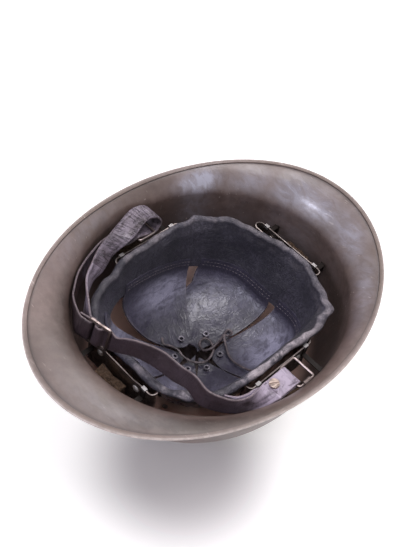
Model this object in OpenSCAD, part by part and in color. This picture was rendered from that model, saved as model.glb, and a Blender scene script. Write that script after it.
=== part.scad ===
// Steel crest helmet of the 1920s, lying on its crest with the opening up.
// The front brim points along -Y, the rear brim along +Y, and z = 0 is the table.

/* [Shell] */
// Overall width across the side brims
shell_w = 220; // [212:1:232]
// Reach of the front brim from the middle of the helmet
front_reach = 152; // [140:1:162]
// Reach of the rear brim from the middle of the helmet
rear_reach = 144; // [134:1:156]
// Inner width of the skull where the brim starts
crease_w = 194; // [190:1:200]
// Inner reach of the skull at the front crease
crease_front = 111.5; // [108:0.5:118]
// Inner reach of the skull at the rear crease
crease_rear = 114.5; // [110:0.5:120]
// Inner depth of the skull below the crease
skull_depth = 112; // [104:1:122]
// Fullness of the skull, 2 is an ellipsoid
skull_fullness = 2.2; // [2:0.05:2.5]
// Rise of the brim edge above the crease at the front
front_rise = 15; // [8:1:22]
// Rise of the brim edge above the crease at the rear
rear_rise = 27; // [18:1:34]
// Rise of the brim edge above the crease at the sides
side_rise = 16.5; // [12:0.5:22]
// Thickness of the pressed steel sheet
sheet_t = 1.2; // [0.8:0.1:1.6]
// Width of the hem folded over on the inner face of the brim
hem_w = 4; // [3:0.5:5]
// Thickness of the folded hem
hem_t = 0.8; // [0.5:0.1:1.1]

/* [Crest] */
// Height of the crest over the crown
crest_h = 16.8; // [12:0.2:22]
// Length of the crest along the skull, in plan
crest_l = 190; // [160:1:196]
// Width of the crest between its flanges
crest_w = 20; // [18:1:28]
// Width of each flange
flange_w = 6; // [5:0.5:7]
// Thickness of the crest sheet
crest_t = 0.8; // [0.6:0.1:1.2]
// Diameter of the vent holes under the crest
vent_d = 5; // [3:0.5:7]
// Number of vent holes
vent_n = 7; // [3:1:9]
// Pitch of the vent holes along the crown
vent_pitch = 12; // [9:1:14]
// Shank diameter of the rivets
rivet_d = 2.8; // [2.4:0.2:3.2]
// Head diameter of the crest rivets
crest_head_d = 5; // [4.4:0.2:5.4]

/* [Liner] */
// Half width of the headband, over its outer face
band_half_w = 64.3; // [62:0.1:65]
// Half length of the headband, over its outer face
band_half_l = 82.4; // [79:0.1:83]
// Squareness of the headband in plan, 2 is an ellipse
band_square = 3.4; // [2.6:0.1:4]
// How far the rear corners of the headband differ, 0 is even
rear_skew = 0.6; // [0:0.05:0.7]
// Thickness of the headband leather
band_t = 2.4; // [1.8:0.1:3]
// Height of the headband at the sides
band_h = 30; // [26:1:34]
// Extra height of the headband at the rear
rear_hang = 17; // [0:1:20]
// Height that the headband loses at the front
front_cut = 8; // [0:1:12]
// Inward lean of the headband's lower edge at the sides
side_lean = 3; // [0:0.5:5]
// Further lean of the lower edge at the front and rear
end_lean = 8; // [0:0.5:10]
// Radius of the rolled top edge
roll_r = 3.2; // [2.4:0.1:3.6]
// Depth of the tongue tips below the crease
bowl_depth = 80; // [74:1:84]
// Thickness of the tongue leather
tongue_t = 1.6; // [1.2:0.1:2]
// Height over which the tongues lie on the headband
tongue_lap = 9; // [7:1:12]
// Outer diameter of the eyelets
eyelet_d = 5.2; // [4.6:0.2:6]
// Hole through the eyelets
eyelet_hole = 2.8; // [2.4:0.2:3.2]
// Diameter of the lace
lace_d = 2; // [1.6:0.1:2.2]

/* [Spacers] */
// Length of the straight sides of a spacer loop
loop_l = 60; // [50:1:64]
// Clear gap inside a spacer loop
loop_gap = 7; // [5:0.5:7]
// Height of the spring strip
loop_h = 29; // [24:1:32]
// Thickness of the spring strip
strip_t = 0.8; // [0.6:0.1:1]
// Depth of the top edge of the spacers below the crease
loop_drop = 8; // [7:0.5:10]
// Width of the clips that hold the spacers
clip_w = 4; // [3:0.5:6]
// Distance of the clips from the middle of a spacer
clip_at = 26; // [25:0.5:30]
// Distance of the spacer rivets from the middle of a spacer
spacer_rivet_at = 19; // [17:1:21]
// Head diameter of the spacer and lug rivets
spacer_head_d = 6; // [5:0.2:7]
// Length of the felt pads
pad_l = 28; // [20:1:30]
// Height of the front and rear felt pads
end_pad_h = 18; // [12:1:20]
// Height of the side felt pads
side_pad_h = 12; // [8:1:13]

/* [Chinstrap] */
// Width of the strap
strap_w = 16; // [15:0.5:16]
// Thickness of the strap
strap_t = 1.8; // [1.4:0.1:1.8]
// Wire diameter of the strap rings
wire_d = 2.2; // [1.8:0.1:2.4]
// Inner length of the ring bar that carries the strap
ring_across = 17.4; // [17:0.1:17.8]
// Inner length of the ring bars beside the strap
ring_along = 13.8; // [13:0.1:15]
// Distance of the ring hinge from the middle plane
hinge_x = 94.4; // [94:0.1:94.6]
// Place of the rings along the helmet
ring_y = 2; // [0:0.5:4]
// Width of the lug that carries a ring
lug_w = 7; // [5:0.5:7]
// Bar width of the slide buckle
buckle_bar = 1.8; // [1.6:0.1:2]
// Plate thickness of the slide buckle
buckle_t = 1.6; // [1.2:0.1:1.8]
// Head diameter of the strap screw
screw_head_d = 7.8; // [6.5:0.1:8.2]
// Distance of the strap screw from the middle of the strap
screw_in = 2.5; // [0:0.1:3]

/* [Hidden] */

seat_gap = 0.25;
fit_gap = 0.15;
crease_z = crest_h + seat_gap + sheet_t + skull_depth;
// The skull's middle lies this far to the rear of the middle of the whole brim.
skull_shift = (front_reach - rear_reach) / 2;
module placed() { translate([0, skull_shift, 0]) children(); }
around = 60;
skull_rows = 12;
brim_rows = 6;

function unit(v) = v / norm(v);
function mix(a, b, f) = a + (b - a) * f;
function last(list) = len(list) - 1;

// Skull and brim. t runs once around the helmet, from the right side (0) over the rear (90).
function by_end(t, rear, front) = sin(t) >= 0 ? rear : front;
function crease_at(t) = [crease_w / 2 * cos(t), by_end(t, crease_rear, crease_front) * sin(t)];
function edge_at(t) = [shell_w / 2 * cos(t), by_end(t, rear_reach, front_reach) * sin(t)];
rise_power = 2.4;
function rise_at(t) =
    side_rise + (by_end(t, rear_rise, front_rise) - side_rise) * pow(abs(sin(t)), rise_power);

// Inner face of the skull: u is 0 at the crease and 90 at the crown.
function skull_at(t, u) =
    let (f = pow(cos(u), 2 / skull_fullness), c = crease_at(t) * f)
    [c[0], c[1], crease_z - skull_depth * pow(sin(u), 2 / skull_fullness)];

// Inner face of the brim: s is 0 at the crease and 1 at the edge.
flare_out = 1.35;
flare_up = 1.5;
function brim_at(t, s) =
    let (p = mix(crease_at(t), edge_at(t), pow(s, flare_out)))
    [p[0], p[1], crease_z + rise_at(t) * (1 - pow(1 - s, flare_up))];

function sheet_at(t, s) = s < 0 ? skull_at(t, -90 * s) : brim_at(t, s);
probe = 0.004;
function sheet_normal(t, s) =
    let (along = sheet_at(t, min(1, s + probe)) - sheet_at(t, s - probe),
         round_it = sheet_at(t + 1, s) - sheet_at(t - 1, s))
    unit(cross(along, round_it));
function off_sheet(t, s, d) = sheet_at(t, s) - sheet_normal(t, s) * d;
// The hem's inner edge, from how fast the brim runs out and up near its edge.
edge_climb = 0.5;
function hem_start(t) =
    1 - hem_w / norm([flare_out * norm(edge_at(t) - crease_at(t)), edge_climb * rise_at(t)]);

skull_steps = [for (i = [1 : skull_rows]) -1 + i / skull_rows];
brim_steps = [for (i = [1 : brim_rows]) i / brim_rows];

edge_round = 0.965;
// One meridian of the shell, from the inner crown over the hemmed edge to the outer crown.
function meridian(t) =
    let (h = hem_start(t))
    concat(
        [for (s = skull_steps) off_sheet(t, s, 0)],
        [for (s = brim_steps) off_sheet(t, s * h, 0)],
        [off_sheet(t, mix(h, 1, 0.08), -hem_t),
         off_sheet(t, mix(h, 1, 0.6), -hem_t),
         off_sheet(t, edge_round, -hem_t * 0.9),
         off_sheet(t, 1, (sheet_t - hem_t) / 2),
         off_sheet(t, edge_round, sheet_t * 0.95)],
        [for (i = [brim_rows : -1 : 1]) off_sheet(t, brim_steps[i - 1] * h, sheet_t)],
        [for (i = [skull_rows - 1 : -1 : 0]) off_sheet(t, skull_steps[i], sheet_t)]
    );

// Closed skin over rings of points with one pole at each end.
function ring_faces(rings, n) = [
    for (r = [0 : rings - 2], i = [0 : n - 1])
        let (j = (i + 1) % n, a = r * n, b = (r + 1) * n)
        each [[a + i, a + j, b + i], [a + j, b + j, b + i]]
];
module shell_blank() {
    rows = len(meridian(0));
    lines = [for (i = [0 : around - 1]) meridian(360 * i / around)];
    points = concat(
        [for (r = [0 : rows - 1], i = [0 : around - 1]) lines[i][r]],
        [[0, 0, crease_z - skull_depth], [0, 0, crease_z - skull_depth - sheet_t]]
    );
    poles = [rows * around, rows * around + 1];
    base = (rows - 1) * around;
    faces = concat(
        ring_faces(rows, around),
        [for (i = [0 : around - 1]) [(i + 1) % around, i, poles[0]]],
        [for (i = [0 : around - 1]) [base + i, base + (i + 1) % around, poles[1]]]
    );
    polyhedron(points, faces, convexity = 6);
}

// Outer face of the skull as a height over the plan.
function skull_out_z(x, y, gap) =
    let (over = sheet_t + gap,
         a = crease_w / 2 + over,
         b = (y >= 0 ? crease_rear : crease_front) + over,
         f = sqrt(pow(x / a, 2) + pow(y / b, 2)))
    crease_z - (skull_depth + over) * pow(max(0, 1 - pow(f, skull_fullness)), 1 / skull_fullness);
function skull_out_at(x, y, gap) = [x, y, skull_out_z(x, y, gap)];
function skull_out_normal(x, y) =
    let (e = 1, dx = skull_out_z(x + e, y, 0) - skull_out_z(x - e, y, 0),
         dy = skull_out_z(x, y + e, 0) - skull_out_z(x, y - e, 0))
    unit([dx / 2, dy / 2, -1]);

// Crest: a pressed ridge with a flange on each side, swept along the crown.
crest_stations = 27;
tab_share = 0.9;
function crest_full(f) = abs(f) < tab_share ? pow(1 - pow(abs(f) / tab_share, 2.4), 0.7) : 0;
crest_profile = [[1, 0.02], [0.86, 0.14], [0.66, 0.5], [0.48, 0.8], [0.28, 0.96], [0, 1]];
crest_half = crest_profile[0][0] * crest_w / 2;
function crest_side(f, lift) =
    let (grow = mix(0.45, 1, crest_full(f)), h = crest_h * crest_full(f))
    concat(
        [[(crest_half + flange_w) * grow, lift]],
        [for (p = crest_profile) [
            p[0] * max(0.5, crest_half * grow - (crest_t - lift)),
            max(lift, p[1] * h - (crest_t - lift))
        ]]
    );
function both_sides(half) =
    concat(half, [for (i = [last(half) - 1 : -1 : 0]) [-half[i][0], half[i][1]]]);
function crest_section(f) =
    let (outer = both_sides(crest_side(f, crest_t)), inner = both_sides(crest_side(f, 0)))
    concat(outer, [for (i = [last(inner) : -1 : 0]) inner[i]]);
function crest_y(f) = f * crest_l / 2;
function crest_point(f, p) =
    skull_out_at(p[0], crest_y(f), seat_gap) + skull_out_normal(0, crest_y(f)) * p[1];

// Solid skin through a row of equal closed sections, with strip ends over a thin wall.
module wall_sweep(sections) {
    n = len(sections[0]);
    rings = len(sections);
    half = n / 2;
    cap = [for (i = [0 : half - 2]) each [[i, i + 1, n - 1 - i], [i + 1, n - 2 - i, n - 1 - i]]];
    tail = (rings - 1) * n;
    faces = concat(
        [for (r = [0 : rings - 2], i = [0 : n - 1])
            let (j = (i + 1) % n, a = r * n, b = (r + 1) * n)
            each [[a + i, b + i, a + j], [a + j, b + i, b + j]]],
        [for (c = cap) c],
        [for (c = cap) [tail + c[2], tail + c[1], tail + c[0]]]
    );
    polyhedron([for (s = sections) each s], faces, convexity = 8);
}

tab_mid = (1 + tab_share) / 2;
crest_rivet_spots = concat(
    [for (f = [-tab_mid, tab_mid]) [0, crest_y(f)]],
    [for (f = [-0.45, 0.45], side = [-1, 1])
        [side * (crest_half * mix(0.45, 1, crest_full(f)) + flange_w / 2), crest_y(f)]]
);

// Turns a child so that its +Z runs along the outward normal of the skull.
module on_skull(x, y, gap) {
    n = skull_out_normal(x, y);
    translate(skull_out_at(x, y, gap)) rotate([0, acos(n[2]), atan2(n[1], n[0])]) children();
}

module shell() {
    color("#4b4038")
    placed() difference() {
        shell_blank();
        for (i = [0 : vent_n - 1])
            translate([0, (i - (vent_n - 1) / 2) * vent_pitch, crest_h / 2])
                cylinder(d = vent_d, h = crest_h + 8, $fn = 24);
        for (p = crest_rivet_spots)
            on_skull(p[0], p[1], 0) translate([0, 0, -6])
                cylinder(d = rivet_d + 2 * fit_gap, h = 12, $fn = 20);
        for (side = [0, 180]) rotate([0, 0, side]) lug_rivet_hole(side);
    }
}

module crest() {
    color("#4b4038")
    placed() difference() {
        wall_sweep([for (i = [0 : crest_stations - 1])
            let (f = -1 + 2 * i / (crest_stations - 1))
            [for (p = crest_section(f)) crest_point(f, p)]]);
        for (p = crest_rivet_spots)
            on_skull(p[0], p[1], 0) translate([0, 0, -3])
                cylinder(d = rivet_d + 2 * fit_gap, h = 10, $fn = 20);
    }
}

// Domed rivet: head above z = 0, shank below, and a flat closed end past the grip.
module rivet(grip, d, head_d) {
    head_r = head_d / 2;
    head_h = head_d * 0.22;
    dome_r = (head_r * head_r + head_h * head_h) / (2 * head_h);
    rotate_extrude($fn = 32) intersection() {
        translate([0, head_h - dome_r]) circle(r = dome_r, $fn = 96);
        square([head_r, head_h]);
    }
    translate([0, 0, -grip - 0.5]) cylinder(d = d, h = grip + 0.6, $fn = 24);
    translate([0, 0, -grip - 0.9]) cylinder(d = d * 1.6, h = 0.9, $fn = 24);
}

module crest_rivets() {
    color("#5a4e44")
    placed() for (p = crest_rivet_spots) {
        stack = seat_gap + crest_t;
        on_skull(p[0], p[1], 0) translate([0, 0, stack + seat_gap])
            rivet(stack + sheet_t + 3 * seat_gap, rivet_d, crest_head_d);
    }
}

// Headband: the angle is measured around the middle of the helmet in plan.
// The old leather has pulled out of square at the rear: fuller on the right, rounder on the left.
function square_at(a, square_n) = square_n + (sin(a) > 0 ? rear_skew * (square_n - 2) * sin(2 * a) : 0);
function band_r(a, half_w, half_l, square_n) =
    let (n = square_at(a, square_n))
    1 / pow(pow(abs(cos(a)) / half_w, n) + pow(abs(sin(a)) / half_l, n), 1 / n);
function polar(a, r, z) = [r * cos(a), r * sin(a), z];
band_top = crease_z - loop_drop;
roll_mid = [0.6, band_top + 0.4 + roll_r];
// The lower edge hangs deepest at the rear and leans in most at both ends.
function band_drop(a) = band_h + (sin(a) > 0 ? rear_hang : front_cut) * sin(a);
function band_bottom(a) = band_top - band_drop(a);
function band_lean(a, z) =
    (side_lean + end_lean * pow(abs(sin(a)), 3)) * max(0, band_top - z) / band_drop(a);
function band_section(a) = concat(
    [[0, band_bottom(a)], [0, band_top + 0.6]],
    [for (turn = [-60 : 40 : 220]) roll_mid + roll_r * [cos(turn), sin(turn)]],
    [[-band_t, band_top - 1], [-band_t, band_bottom(a)]]
);
band_stations = 72;
function band_point(a, p) =
    let (out = p[0] - band_lean(a, p[1]))
    polar(a, band_r(a, band_half_w + out, band_half_l + out, band_square), p[1]);

module headband() {
    n = len(band_section(0));
    points = [for (i = [0 : band_stations - 1], p = band_section(360 * i / band_stations))
        band_point(360 * i / band_stations, p)];
    faces = [for (r = [0 : band_stations - 1], i = [0 : n - 1])
        let (j = (i + 1) % n, a = r * n, b = ((r + 1) % band_stations) * n)
        each [[a + i, a + j, b + i], [a + j, b + j, b + i]]];
    color("#2f2d38") placed() polyhedron(points, faces, convexity = 6);
}

// Tongues: petals of leather that start on the inner face of the headband and form a bowl.
tongue_half_w = band_half_w - band_t - 1.5 * seat_gap;
tongue_half_l = band_half_l - band_t - 1.5 * seat_gap;
tip_turn = 82;
// f is 0 at the top edge of the tongue and 1 at its tip, d is the depth into the leather.
tongue_rows = 9;
tongue_cols = 9;
lap_share = 1 / tongue_rows;
function tongue_at(a, f, d) =
    let (turn = f < lap_share ? 0 : tip_turn * (f - lap_share) / (1 - lap_share),
         lap = f < lap_share ? tongue_lap * (1 - f / lap_share) : 0,
         start = band_bottom(a) + lap,
         inset = d + band_lean(a, start),
         w = tongue_half_w - inset, l = tongue_half_l - inset,
         r = band_r(a, w, l, mix(band_square, 2, turn / 90)) * pow(cos(turn), 0.9))
    polar(a, r, start - (band_bottom(a) - crease_z + bowl_depth - d) * sin(turn));

// The slits between the tongues: angle at the headband, angle at the tip, half width at the headband.
slits = [[221, 224, 11], [141.5, 150, 3.5], [79, 76, 2], [0.5, 10, 2], [-45, -45, 1.2], [-88, -88, 1.2]];
slit_gap = 1.2;
function slit_at(i) = i < len(slits) ? slits[i] : slits[0] - [360, 360, 0];
function slit_side(i, f, side) =
    let (s = slit_at(i)) mix(s[0], s[1], f) + side * (slit_gap + s[2] * pow(1 - f, 1.6));
// Share of its width that a tongue keeps towards its rounded tip.
tip_start = 0.72;
function fill_at(f) =
    let (g = (f - tip_start) / (1 - tip_start))
    f < tip_start ? 1 : pow(max(0, 1 - g * g), 0.4) + 0.02;

// Tongue i lies between slits i and i + 1.
module tongue(i) {
    grid = [for (d = [0, tongue_t], r = [0 : tongue_rows], c = [0 : tongue_cols])
        let (f = r / tongue_rows, a0 = slit_side(i + 1, f, 1), a1 = slit_side(i, f, -1),
             a = (a0 + a1) / 2 + (a1 - a0) / 2 * fill_at(f) * (2 * c / tongue_cols - 1))
        tongue_at(a, f, d)];
    w = tongue_cols + 1;
    lid = (tongue_rows + 1) * w;
    function quad(a, b, c, d) = [[a, b, c], [a, c, d]];
    faces = concat(
        [for (r = [0 : tongue_rows - 1], c = [0 : tongue_cols - 1])
            let (i = r * w + c) each quad(i, i + 1, i + w + 1, i + w)],
        [for (r = [0 : tongue_rows - 1], c = [0 : tongue_cols - 1])
            let (i = lid + r * w + c) each quad(i, i + w, i + w + 1, i + 1)],
        [for (c = [0 : tongue_cols - 1])
            let (i = c, j = tongue_rows * w + c)
            each concat(quad(i, i + lid, i + lid + 1, i + 1), quad(j, j + 1, j + lid + 1, j + lid))],
        [for (r = [0 : tongue_rows - 1])
            let (i = r * w, j = r * w + tongue_cols)
            each concat(quad(i, i + w, i + w + lid, i + lid), quad(j, j + lid, j + w + lid, j + w))]
    );
    difference() {
        polyhedron(grid, faces, convexity = 4);
        at_eyelet(eyelet_angle(i)) cylinder(d = eyelet_d - 1.2 + 2 * fit_gap, h = 8, center = true, $fn = 24);
    }
}

eyelet_place = 0.925;
function eyelet_angle(i) = (slit_at(i)[1] + slit_at(i + 1)[1]) / 2;
module at_eyelet(a) {
    e = 0.02;
    p = tongue_at(a, eyelet_place, tongue_t / 2);
    along = tongue_at(a, eyelet_place + e, tongue_t / 2) - tongue_at(a, eyelet_place - e, tongue_t / 2);
    slope = atan2(-along[2], norm([along[0], along[1]]));
    translate(p) rotate([0, 0, a]) rotate([0, -slope, 0]) children();
}

module tongue_rear_left() { color("#5d5c73") placed() tongue(0); }
module tongue_rear() { color("#63617a") placed() tongue(1); }
module tongue_right() { color("#5d5c73") placed() tongue(2); }
module tongue_front_right() { color("#63617a") placed() tongue(3); }
module tongue_front() { color("#5d5c73") placed() tongue(4); }
module tongue_front_left() { color("#63617a") placed() tongue(5); }

// Eyelet: a tube through the leather with a flat flange on each face.
module eyelet() {
    grip = tongue_t + 4 * fit_gap;
    flange = 0.5;
    difference() {
        union() {
            cylinder(d = eyelet_d - 1.2, h = grip + flange, center = true, $fn = 28);
            for (side = [-1, 1])
                translate([0, 0, side * (grip + flange) / 2])
                    cylinder(d = eyelet_d, h = flange, center = true, $fn = 28);
        }
        cylinder(d = eyelet_hole, h = 3 * grip, center = true, $fn = 24);
    }
}
module eyelets() {
    color("#8c867c")
    placed() for (i = [0 : 5]) at_eyelet(eyelet_angle(i)) eyelet();
}

// Round tube along a route, its ends square to the route.
function smooth_route(p, steps) = concat(
    [for (i = [0 : last(p) - 1], k = [0 : steps - 1])
        let (a = p[max(0, i - 1)], b = p[i], c = p[i + 1], d = p[min(last(p), i + 2)], t = k / steps)
        b + (c - a) * t / 2 + (2 * a - 5 * b + 4 * c - d) * t * t / 2
        + (3 * b - a - 3 * c + d) * t * t * t / 2],
    [p[last(p)]]
);
function tangent(p, i) = unit(p[min(last(p), i + 1)] - p[max(0, i - 1)]);
module tube(route, d, sides) {
    rings = [for (i = [0 : last(route)])
        let (t = tangent(route, i), u = unit(cross([0.02, 0.01, 1], t)), v = cross(t, u))
        [for (k = [0 : sides - 1]) route[i] + d / 2 * (u * cos(360 * k / sides) + v * sin(360 * k / sides))]];
    n = sides;
    tail = last(route) * n;
    faces = concat(
        [for (r = [0 : last(route) - 1], i = [0 : n - 1])
            let (j = (i + 1) % n, a = r * n, b = (r + 1) * n)
            each [[a + i, b + i, a + j], [a + j, b + i, b + j]]],
        [[for (i = [0 : n - 1]) i]],
        [[for (i = [n - 1 : -1 : 0]) tail + i]]
    );
    polyhedron([for (r = rings) each r], faces, convexity = 6);
}

// Lace route, in plan and below the crease.
lace_route = [
    [-25, -17, 71.7], [-20, -19.5, 72.5], [-16, -15.4, 74.3], [-10, -12.4, 75.6], [-3, -13.3, 76],
    [5, -10.8, 76.2], [10.4, -5.7, 76.2], [12, 1, 76.2], [8.6, 10, 76.4], [1, 15, 76.2],
    [-5.3, 13, 76.2], [-3.8, 6.4, 76.4], [3, 4, 75.8], [6.5, 9, 74], [6.3, 15.7, 73.4],
    [5, 21.6, 74.6], [3, 28, 74.8], [2, 33.6, 74], [6, 34.2, 73.7], [7, 29, 73.2],
    [4.6, 26, 72.4], [10.6, 21.9, 74.2], [18.9, 16.9, 74.4], [27, 14, 72.7], [35.8, 13.2, 69],
    [44, 11.8, 63], [51, 10, 54.5]
];
module lace() {
    color("#6b5a5c") placed() translate([0, 0, crease_z]) mirror([0, 0, 1])
        tube(smooth_route(lace_route, 3), lace_d, 8);
}

// Spacers: closed loops of spring strip, their long sides straight.
spacer_x = 73.5;
spacer_y = 91.5;
loop_r = loop_gap / 2 + strip_t;
loop_mid = loop_r;
rivet_drop = 8;
module stadium(l, r) {
    square([l, 2 * r], center = true);
    for (side = [-1, 1]) translate([side * l / 2, 0]) circle(r = r, $fn = 48);
}
// Drawn with its outer face on y = 0 and the helmet's middle on the -Y side.
module spacer() {
    color("#8f8682")
    difference() {
        translate([0, -loop_mid, crease_z - loop_drop - loop_h]) linear_extrude(loop_h) difference() {
            stadium(loop_l, loop_r);
            stadium(loop_l, loop_r - strip_t);
        }
        for (side = [-1, 1])
            translate([side * spacer_rivet_at, 0.5, crease_z - loop_drop - rivet_drop]) rotate([90, 0, 0])
                cylinder(d = rivet_d + 2 * fit_gap, h = strip_t + 1, $fn = 24);
    }
}
// Sides: 0 right, 90 rear, 180 left, 270 front.
function spacer_out(side) = side % 180 == 0 ? spacer_x : spacer_y;
module at_side(side) {
    placed() rotate([0, 0, side - 90]) translate([0, spacer_out(side), 0]) children();
}
module spacer_rear() { at_side(90) spacer(); }
module spacer_front() { at_side(270) spacer(); }
module spacer_right() { at_side(0) spacer(); }
module spacer_left() { at_side(180) spacer(); }

module spacer_rivets() {
    color("#b5aaa4")
    for (s = [0, 90, 180, 270], side = [-1, 1])
        at_side(s) translate([side * spacer_rivet_at, fit_gap, crease_z - loop_drop - rivet_drop])
            rotate([-90, 0, 0]) rivet(strip_t + 2 * fit_gap, rivet_d, spacer_head_d);
}

// Inner face of the skull: how far it lies out from the middle on one side of the helmet.
// l is the place along that side, rising anticlockwise seen from above, and z the height.
function side_half(side) = side == 90 ? crease_rear : side == 270 ? crease_front : crease_w / 2;
function cross_half(side, l) =
    side % 180 != 0 ? crease_w / 2 : (side == 0 ? l : -l) <= 0 ? crease_front : crease_rear;
function skull_in(side, l, z) =
    let (f = pow(1 - pow(max(0, crease_z - z) / skull_depth, skull_fullness), 1 / skull_fullness))
    side_half(side) * sqrt(max(0, f * f - pow(l / cross_half(side, l), 2)));

// Clip: a strip brazed to the skull, led across to the spacer and folded over its top edge.
clip_t = 0.8;
prong_l = 4;
clip_leg_z = crease_z - loop_drop - 10;
clip_foot_h = 7;
foot_w = clip_w + 0.6;
module clip(side, l) {
    top = crease_z - loop_drop + fit_gap;
    wall = min(skull_in(side, l, clip_leg_z), skull_in(side, l, clip_leg_z - clip_foot_h));
    lean = atan2(skull_in(side, l + 1, clip_leg_z) - skull_in(side, l - 1, clip_leg_z), 2);
    reach = wall - spacer_out(side) - seat_gap - tan(abs(lean)) * clip_w / 2;
    in_y = -strip_t - fit_gap - clip_t;
    far_y = reach - 0.7 * clip_t;
    // Side view of the bent strip, from the prong over the spacer's edge to the skull.
    side_view = [
        [in_y, top - prong_l], [in_y + clip_t, top - prong_l], [in_y + clip_t, top], [fit_gap, top],
        [fit_gap, clip_leg_z], [far_y, clip_leg_z], [far_y, clip_leg_z + clip_t],
        [fit_gap + clip_t, clip_leg_z + clip_t], [fit_gap + clip_t, top + clip_t], [in_y, top + clip_t]
    ];
    at_side(side) translate([-l, 0, 0]) {
        translate([-clip_w / 2, 0, 0]) rotate([90, 0, 90]) linear_extrude(clip_w) polygon(side_view);
        translate([0, reach, clip_leg_z - clip_foot_h]) rotate([0, 0, -lean])
            translate([-foot_w / 2, -clip_t, 0]) cube([foot_w, clip_t, clip_foot_h + 1.5 * clip_t]);
    }
}
module spacer_clips() {
    color("#cfc8c6")
    for (s = [0, 90, 180, 270], side = [-1, 1]) clip(s, side * clip_at);
}

// Felt pad: fills the space between a spacer and the skull.
pad_rows = 3;
pad_cols = 4;
module pad(side, drop, pad_h) {
    top = crease_z - loop_drop - drop;
    w = pad_cols + 1;
    lid = (pad_rows + 1) * w;
    points = [for (face = [0, 1], r = [0 : pad_rows], c = [0 : pad_cols])
        let (l = pad_l * (c / pad_cols - 0.5), z = top - pad_h * r / pad_rows,
             out = face == 0 ? spacer_out(side) + seat_gap : skull_in(side, l, z) - 2 * seat_gap)
        [-l, out - spacer_out(side), z]];
    function quad(a, b, c, d) = [[a, b, c], [a, c, d]];
    faces = concat(
        [for (r = [0 : pad_rows - 1], c = [0 : pad_cols - 1])
            let (i = r * w + c) each quad(i, i + w, i + w + 1, i + 1)],
        [for (r = [0 : pad_rows - 1], c = [0 : pad_cols - 1])
            let (i = lid + r * w + c) each quad(i, i + 1, i + w + 1, i + w)],
        [for (c = [0 : pad_cols - 1])
            let (i = c, j = pad_rows * w + c)
            each concat(quad(i, i + 1, i + lid + 1, i + lid), quad(j, j + lid, j + lid + 1, j + 1))],
        [for (r = [0 : pad_rows - 1])
            let (i = r * w, j = r * w + pad_cols)
            each concat(quad(i, i + lid, i + w + lid, i + w), quad(j, j + w, j + w + lid, j + lid))]
    );
    color("#5c5046") at_side(side) polyhedron(points, faces);
}
end_pad_drop = 11;
side_pad_drop = 17;
module pad_rear() { pad(90, end_pad_drop, end_pad_h); }
module pad_front() { pad(270, end_pad_drop, end_pad_h); }
module pad_right() { pad(0, side_pad_drop, side_pad_h); }
module pad_left() { pad(180, side_pad_drop, side_pad_h); }

// Strap rings and the lugs that carry them.
ring_z = crease_z - loop_drop + wire_d / 2 + 0.9;
lug_t = 0.8;
eye_gap = 0.2;
eye_r = wire_d / 2 + eye_gap + lug_t;
ring_inner_x = hinge_x - ring_across - wire_d;
ring_half = ring_along / 2 + wire_d / 2;
bend_r = 2;
module strap_ring() {
    mid_x = (ring_inner_x + hinge_x) / 2;
    half_x = (hinge_x - ring_inner_x) / 2;
    color("#b9a7a2")
    placed() translate([mid_x, ring_y, ring_z]) {
        for (x = [-half_x, half_x])
            translate([x, bend_r - ring_half, 0]) rotate([-90, 0, 0])
                cylinder(d = wire_d, h = 2 * (ring_half - bend_r), $fn = 24);
        for (y = [-ring_half, ring_half])
            translate([bend_r - half_x, y, 0]) rotate([0, 90, 0])
                cylinder(d = wire_d, h = 2 * (half_x - bend_r), $fn = 24);
        for (turn = [0, 180]) rotate([0, 0, turn]) {
            translate([half_x - bend_r, ring_half - bend_r, 0]) wire_bend(0);
            translate([bend_r - half_x, ring_half - bend_r, 0]) wire_bend(90);
        }
    }
}
module wire_bend(start) {
    rotate([0, 0, start]) rotate_extrude(angle = 90, $fn = 48)
        translate([bend_r, 0]) circle(d = wire_d, $fn = 24);
}
module mirrored_x(flip) { mirror([flip ? 1 : 0, 0, 0]) children(); }
module ring_right() { strap_ring(); }
module ring_left() { mirrored_x(true) strap_ring(); }

// Lug: a strip rolled into an eye around the ring's hinge bar and led down the skull.
lug_drop = 16;
lug_rivet_drop = 11;
lug_slope = atan2(skull_in(0, ring_y, ring_z) - skull_in(0, ring_y, ring_z - lug_drop), lug_drop);
lug_face = skull_in(0, lug_w / 2 + ring_y, ring_z) - 1.5 * seat_gap;
module lug() {
    color("#6e625a")
    placed() difference() {
        translate([0, ring_y + lug_w / 2, ring_z]) rotate([90, 0, 0]) linear_extrude(lug_w) difference() {
            union() {
                translate([hinge_x, 0]) circle(r = eye_r, $fn = 48);
                translate([lug_face, 0]) rotate(-lug_slope) translate([-lug_t, -lug_drop])
                    square([lug_t, lug_drop]);
                translate([hinge_x, -eye_r]) square([lug_face - lug_t / 2 - hinge_x, lug_t]);
            }
            translate([hinge_x, 0]) circle(r = wire_d / 2 + eye_gap, $fn = 48);
        }
        translate([0, ring_y, 0]) lug_rivet_bore();
    }
}
// The lug's rivet, square to its plate.
module at_lug_rivet() {
    translate([lug_face, 0, ring_z]) rotate([0, lug_slope, 0]) translate([0, 0, -lug_rivet_drop])
        rotate([0, -90, 0]) children();
}
module lug_rivet_bore() {
    at_lug_rivet() translate([0, 0, -4]) cylinder(d = rivet_d + 2 * fit_gap, h = 8, $fn = 20);
}
module lug_rivet_hole(side) {
    translate([0, side == 0 ? ring_y : -ring_y, 0]) lug_rivet_bore();
}
module lug_right() { lug(); }
module lug_left() { mirrored_x(true) lug(); }
module lug_rivets() {
    color("#6e625a")
    for (flip = [false, true]) mirrored_x(flip) placed() translate([0, ring_y, 0]) at_lug_rivet()
        translate([0, 0, lug_t + fit_gap]) rivet(lug_t + sheet_t + 6 * fit_gap, rivet_d, spacer_head_d);
}

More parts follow.
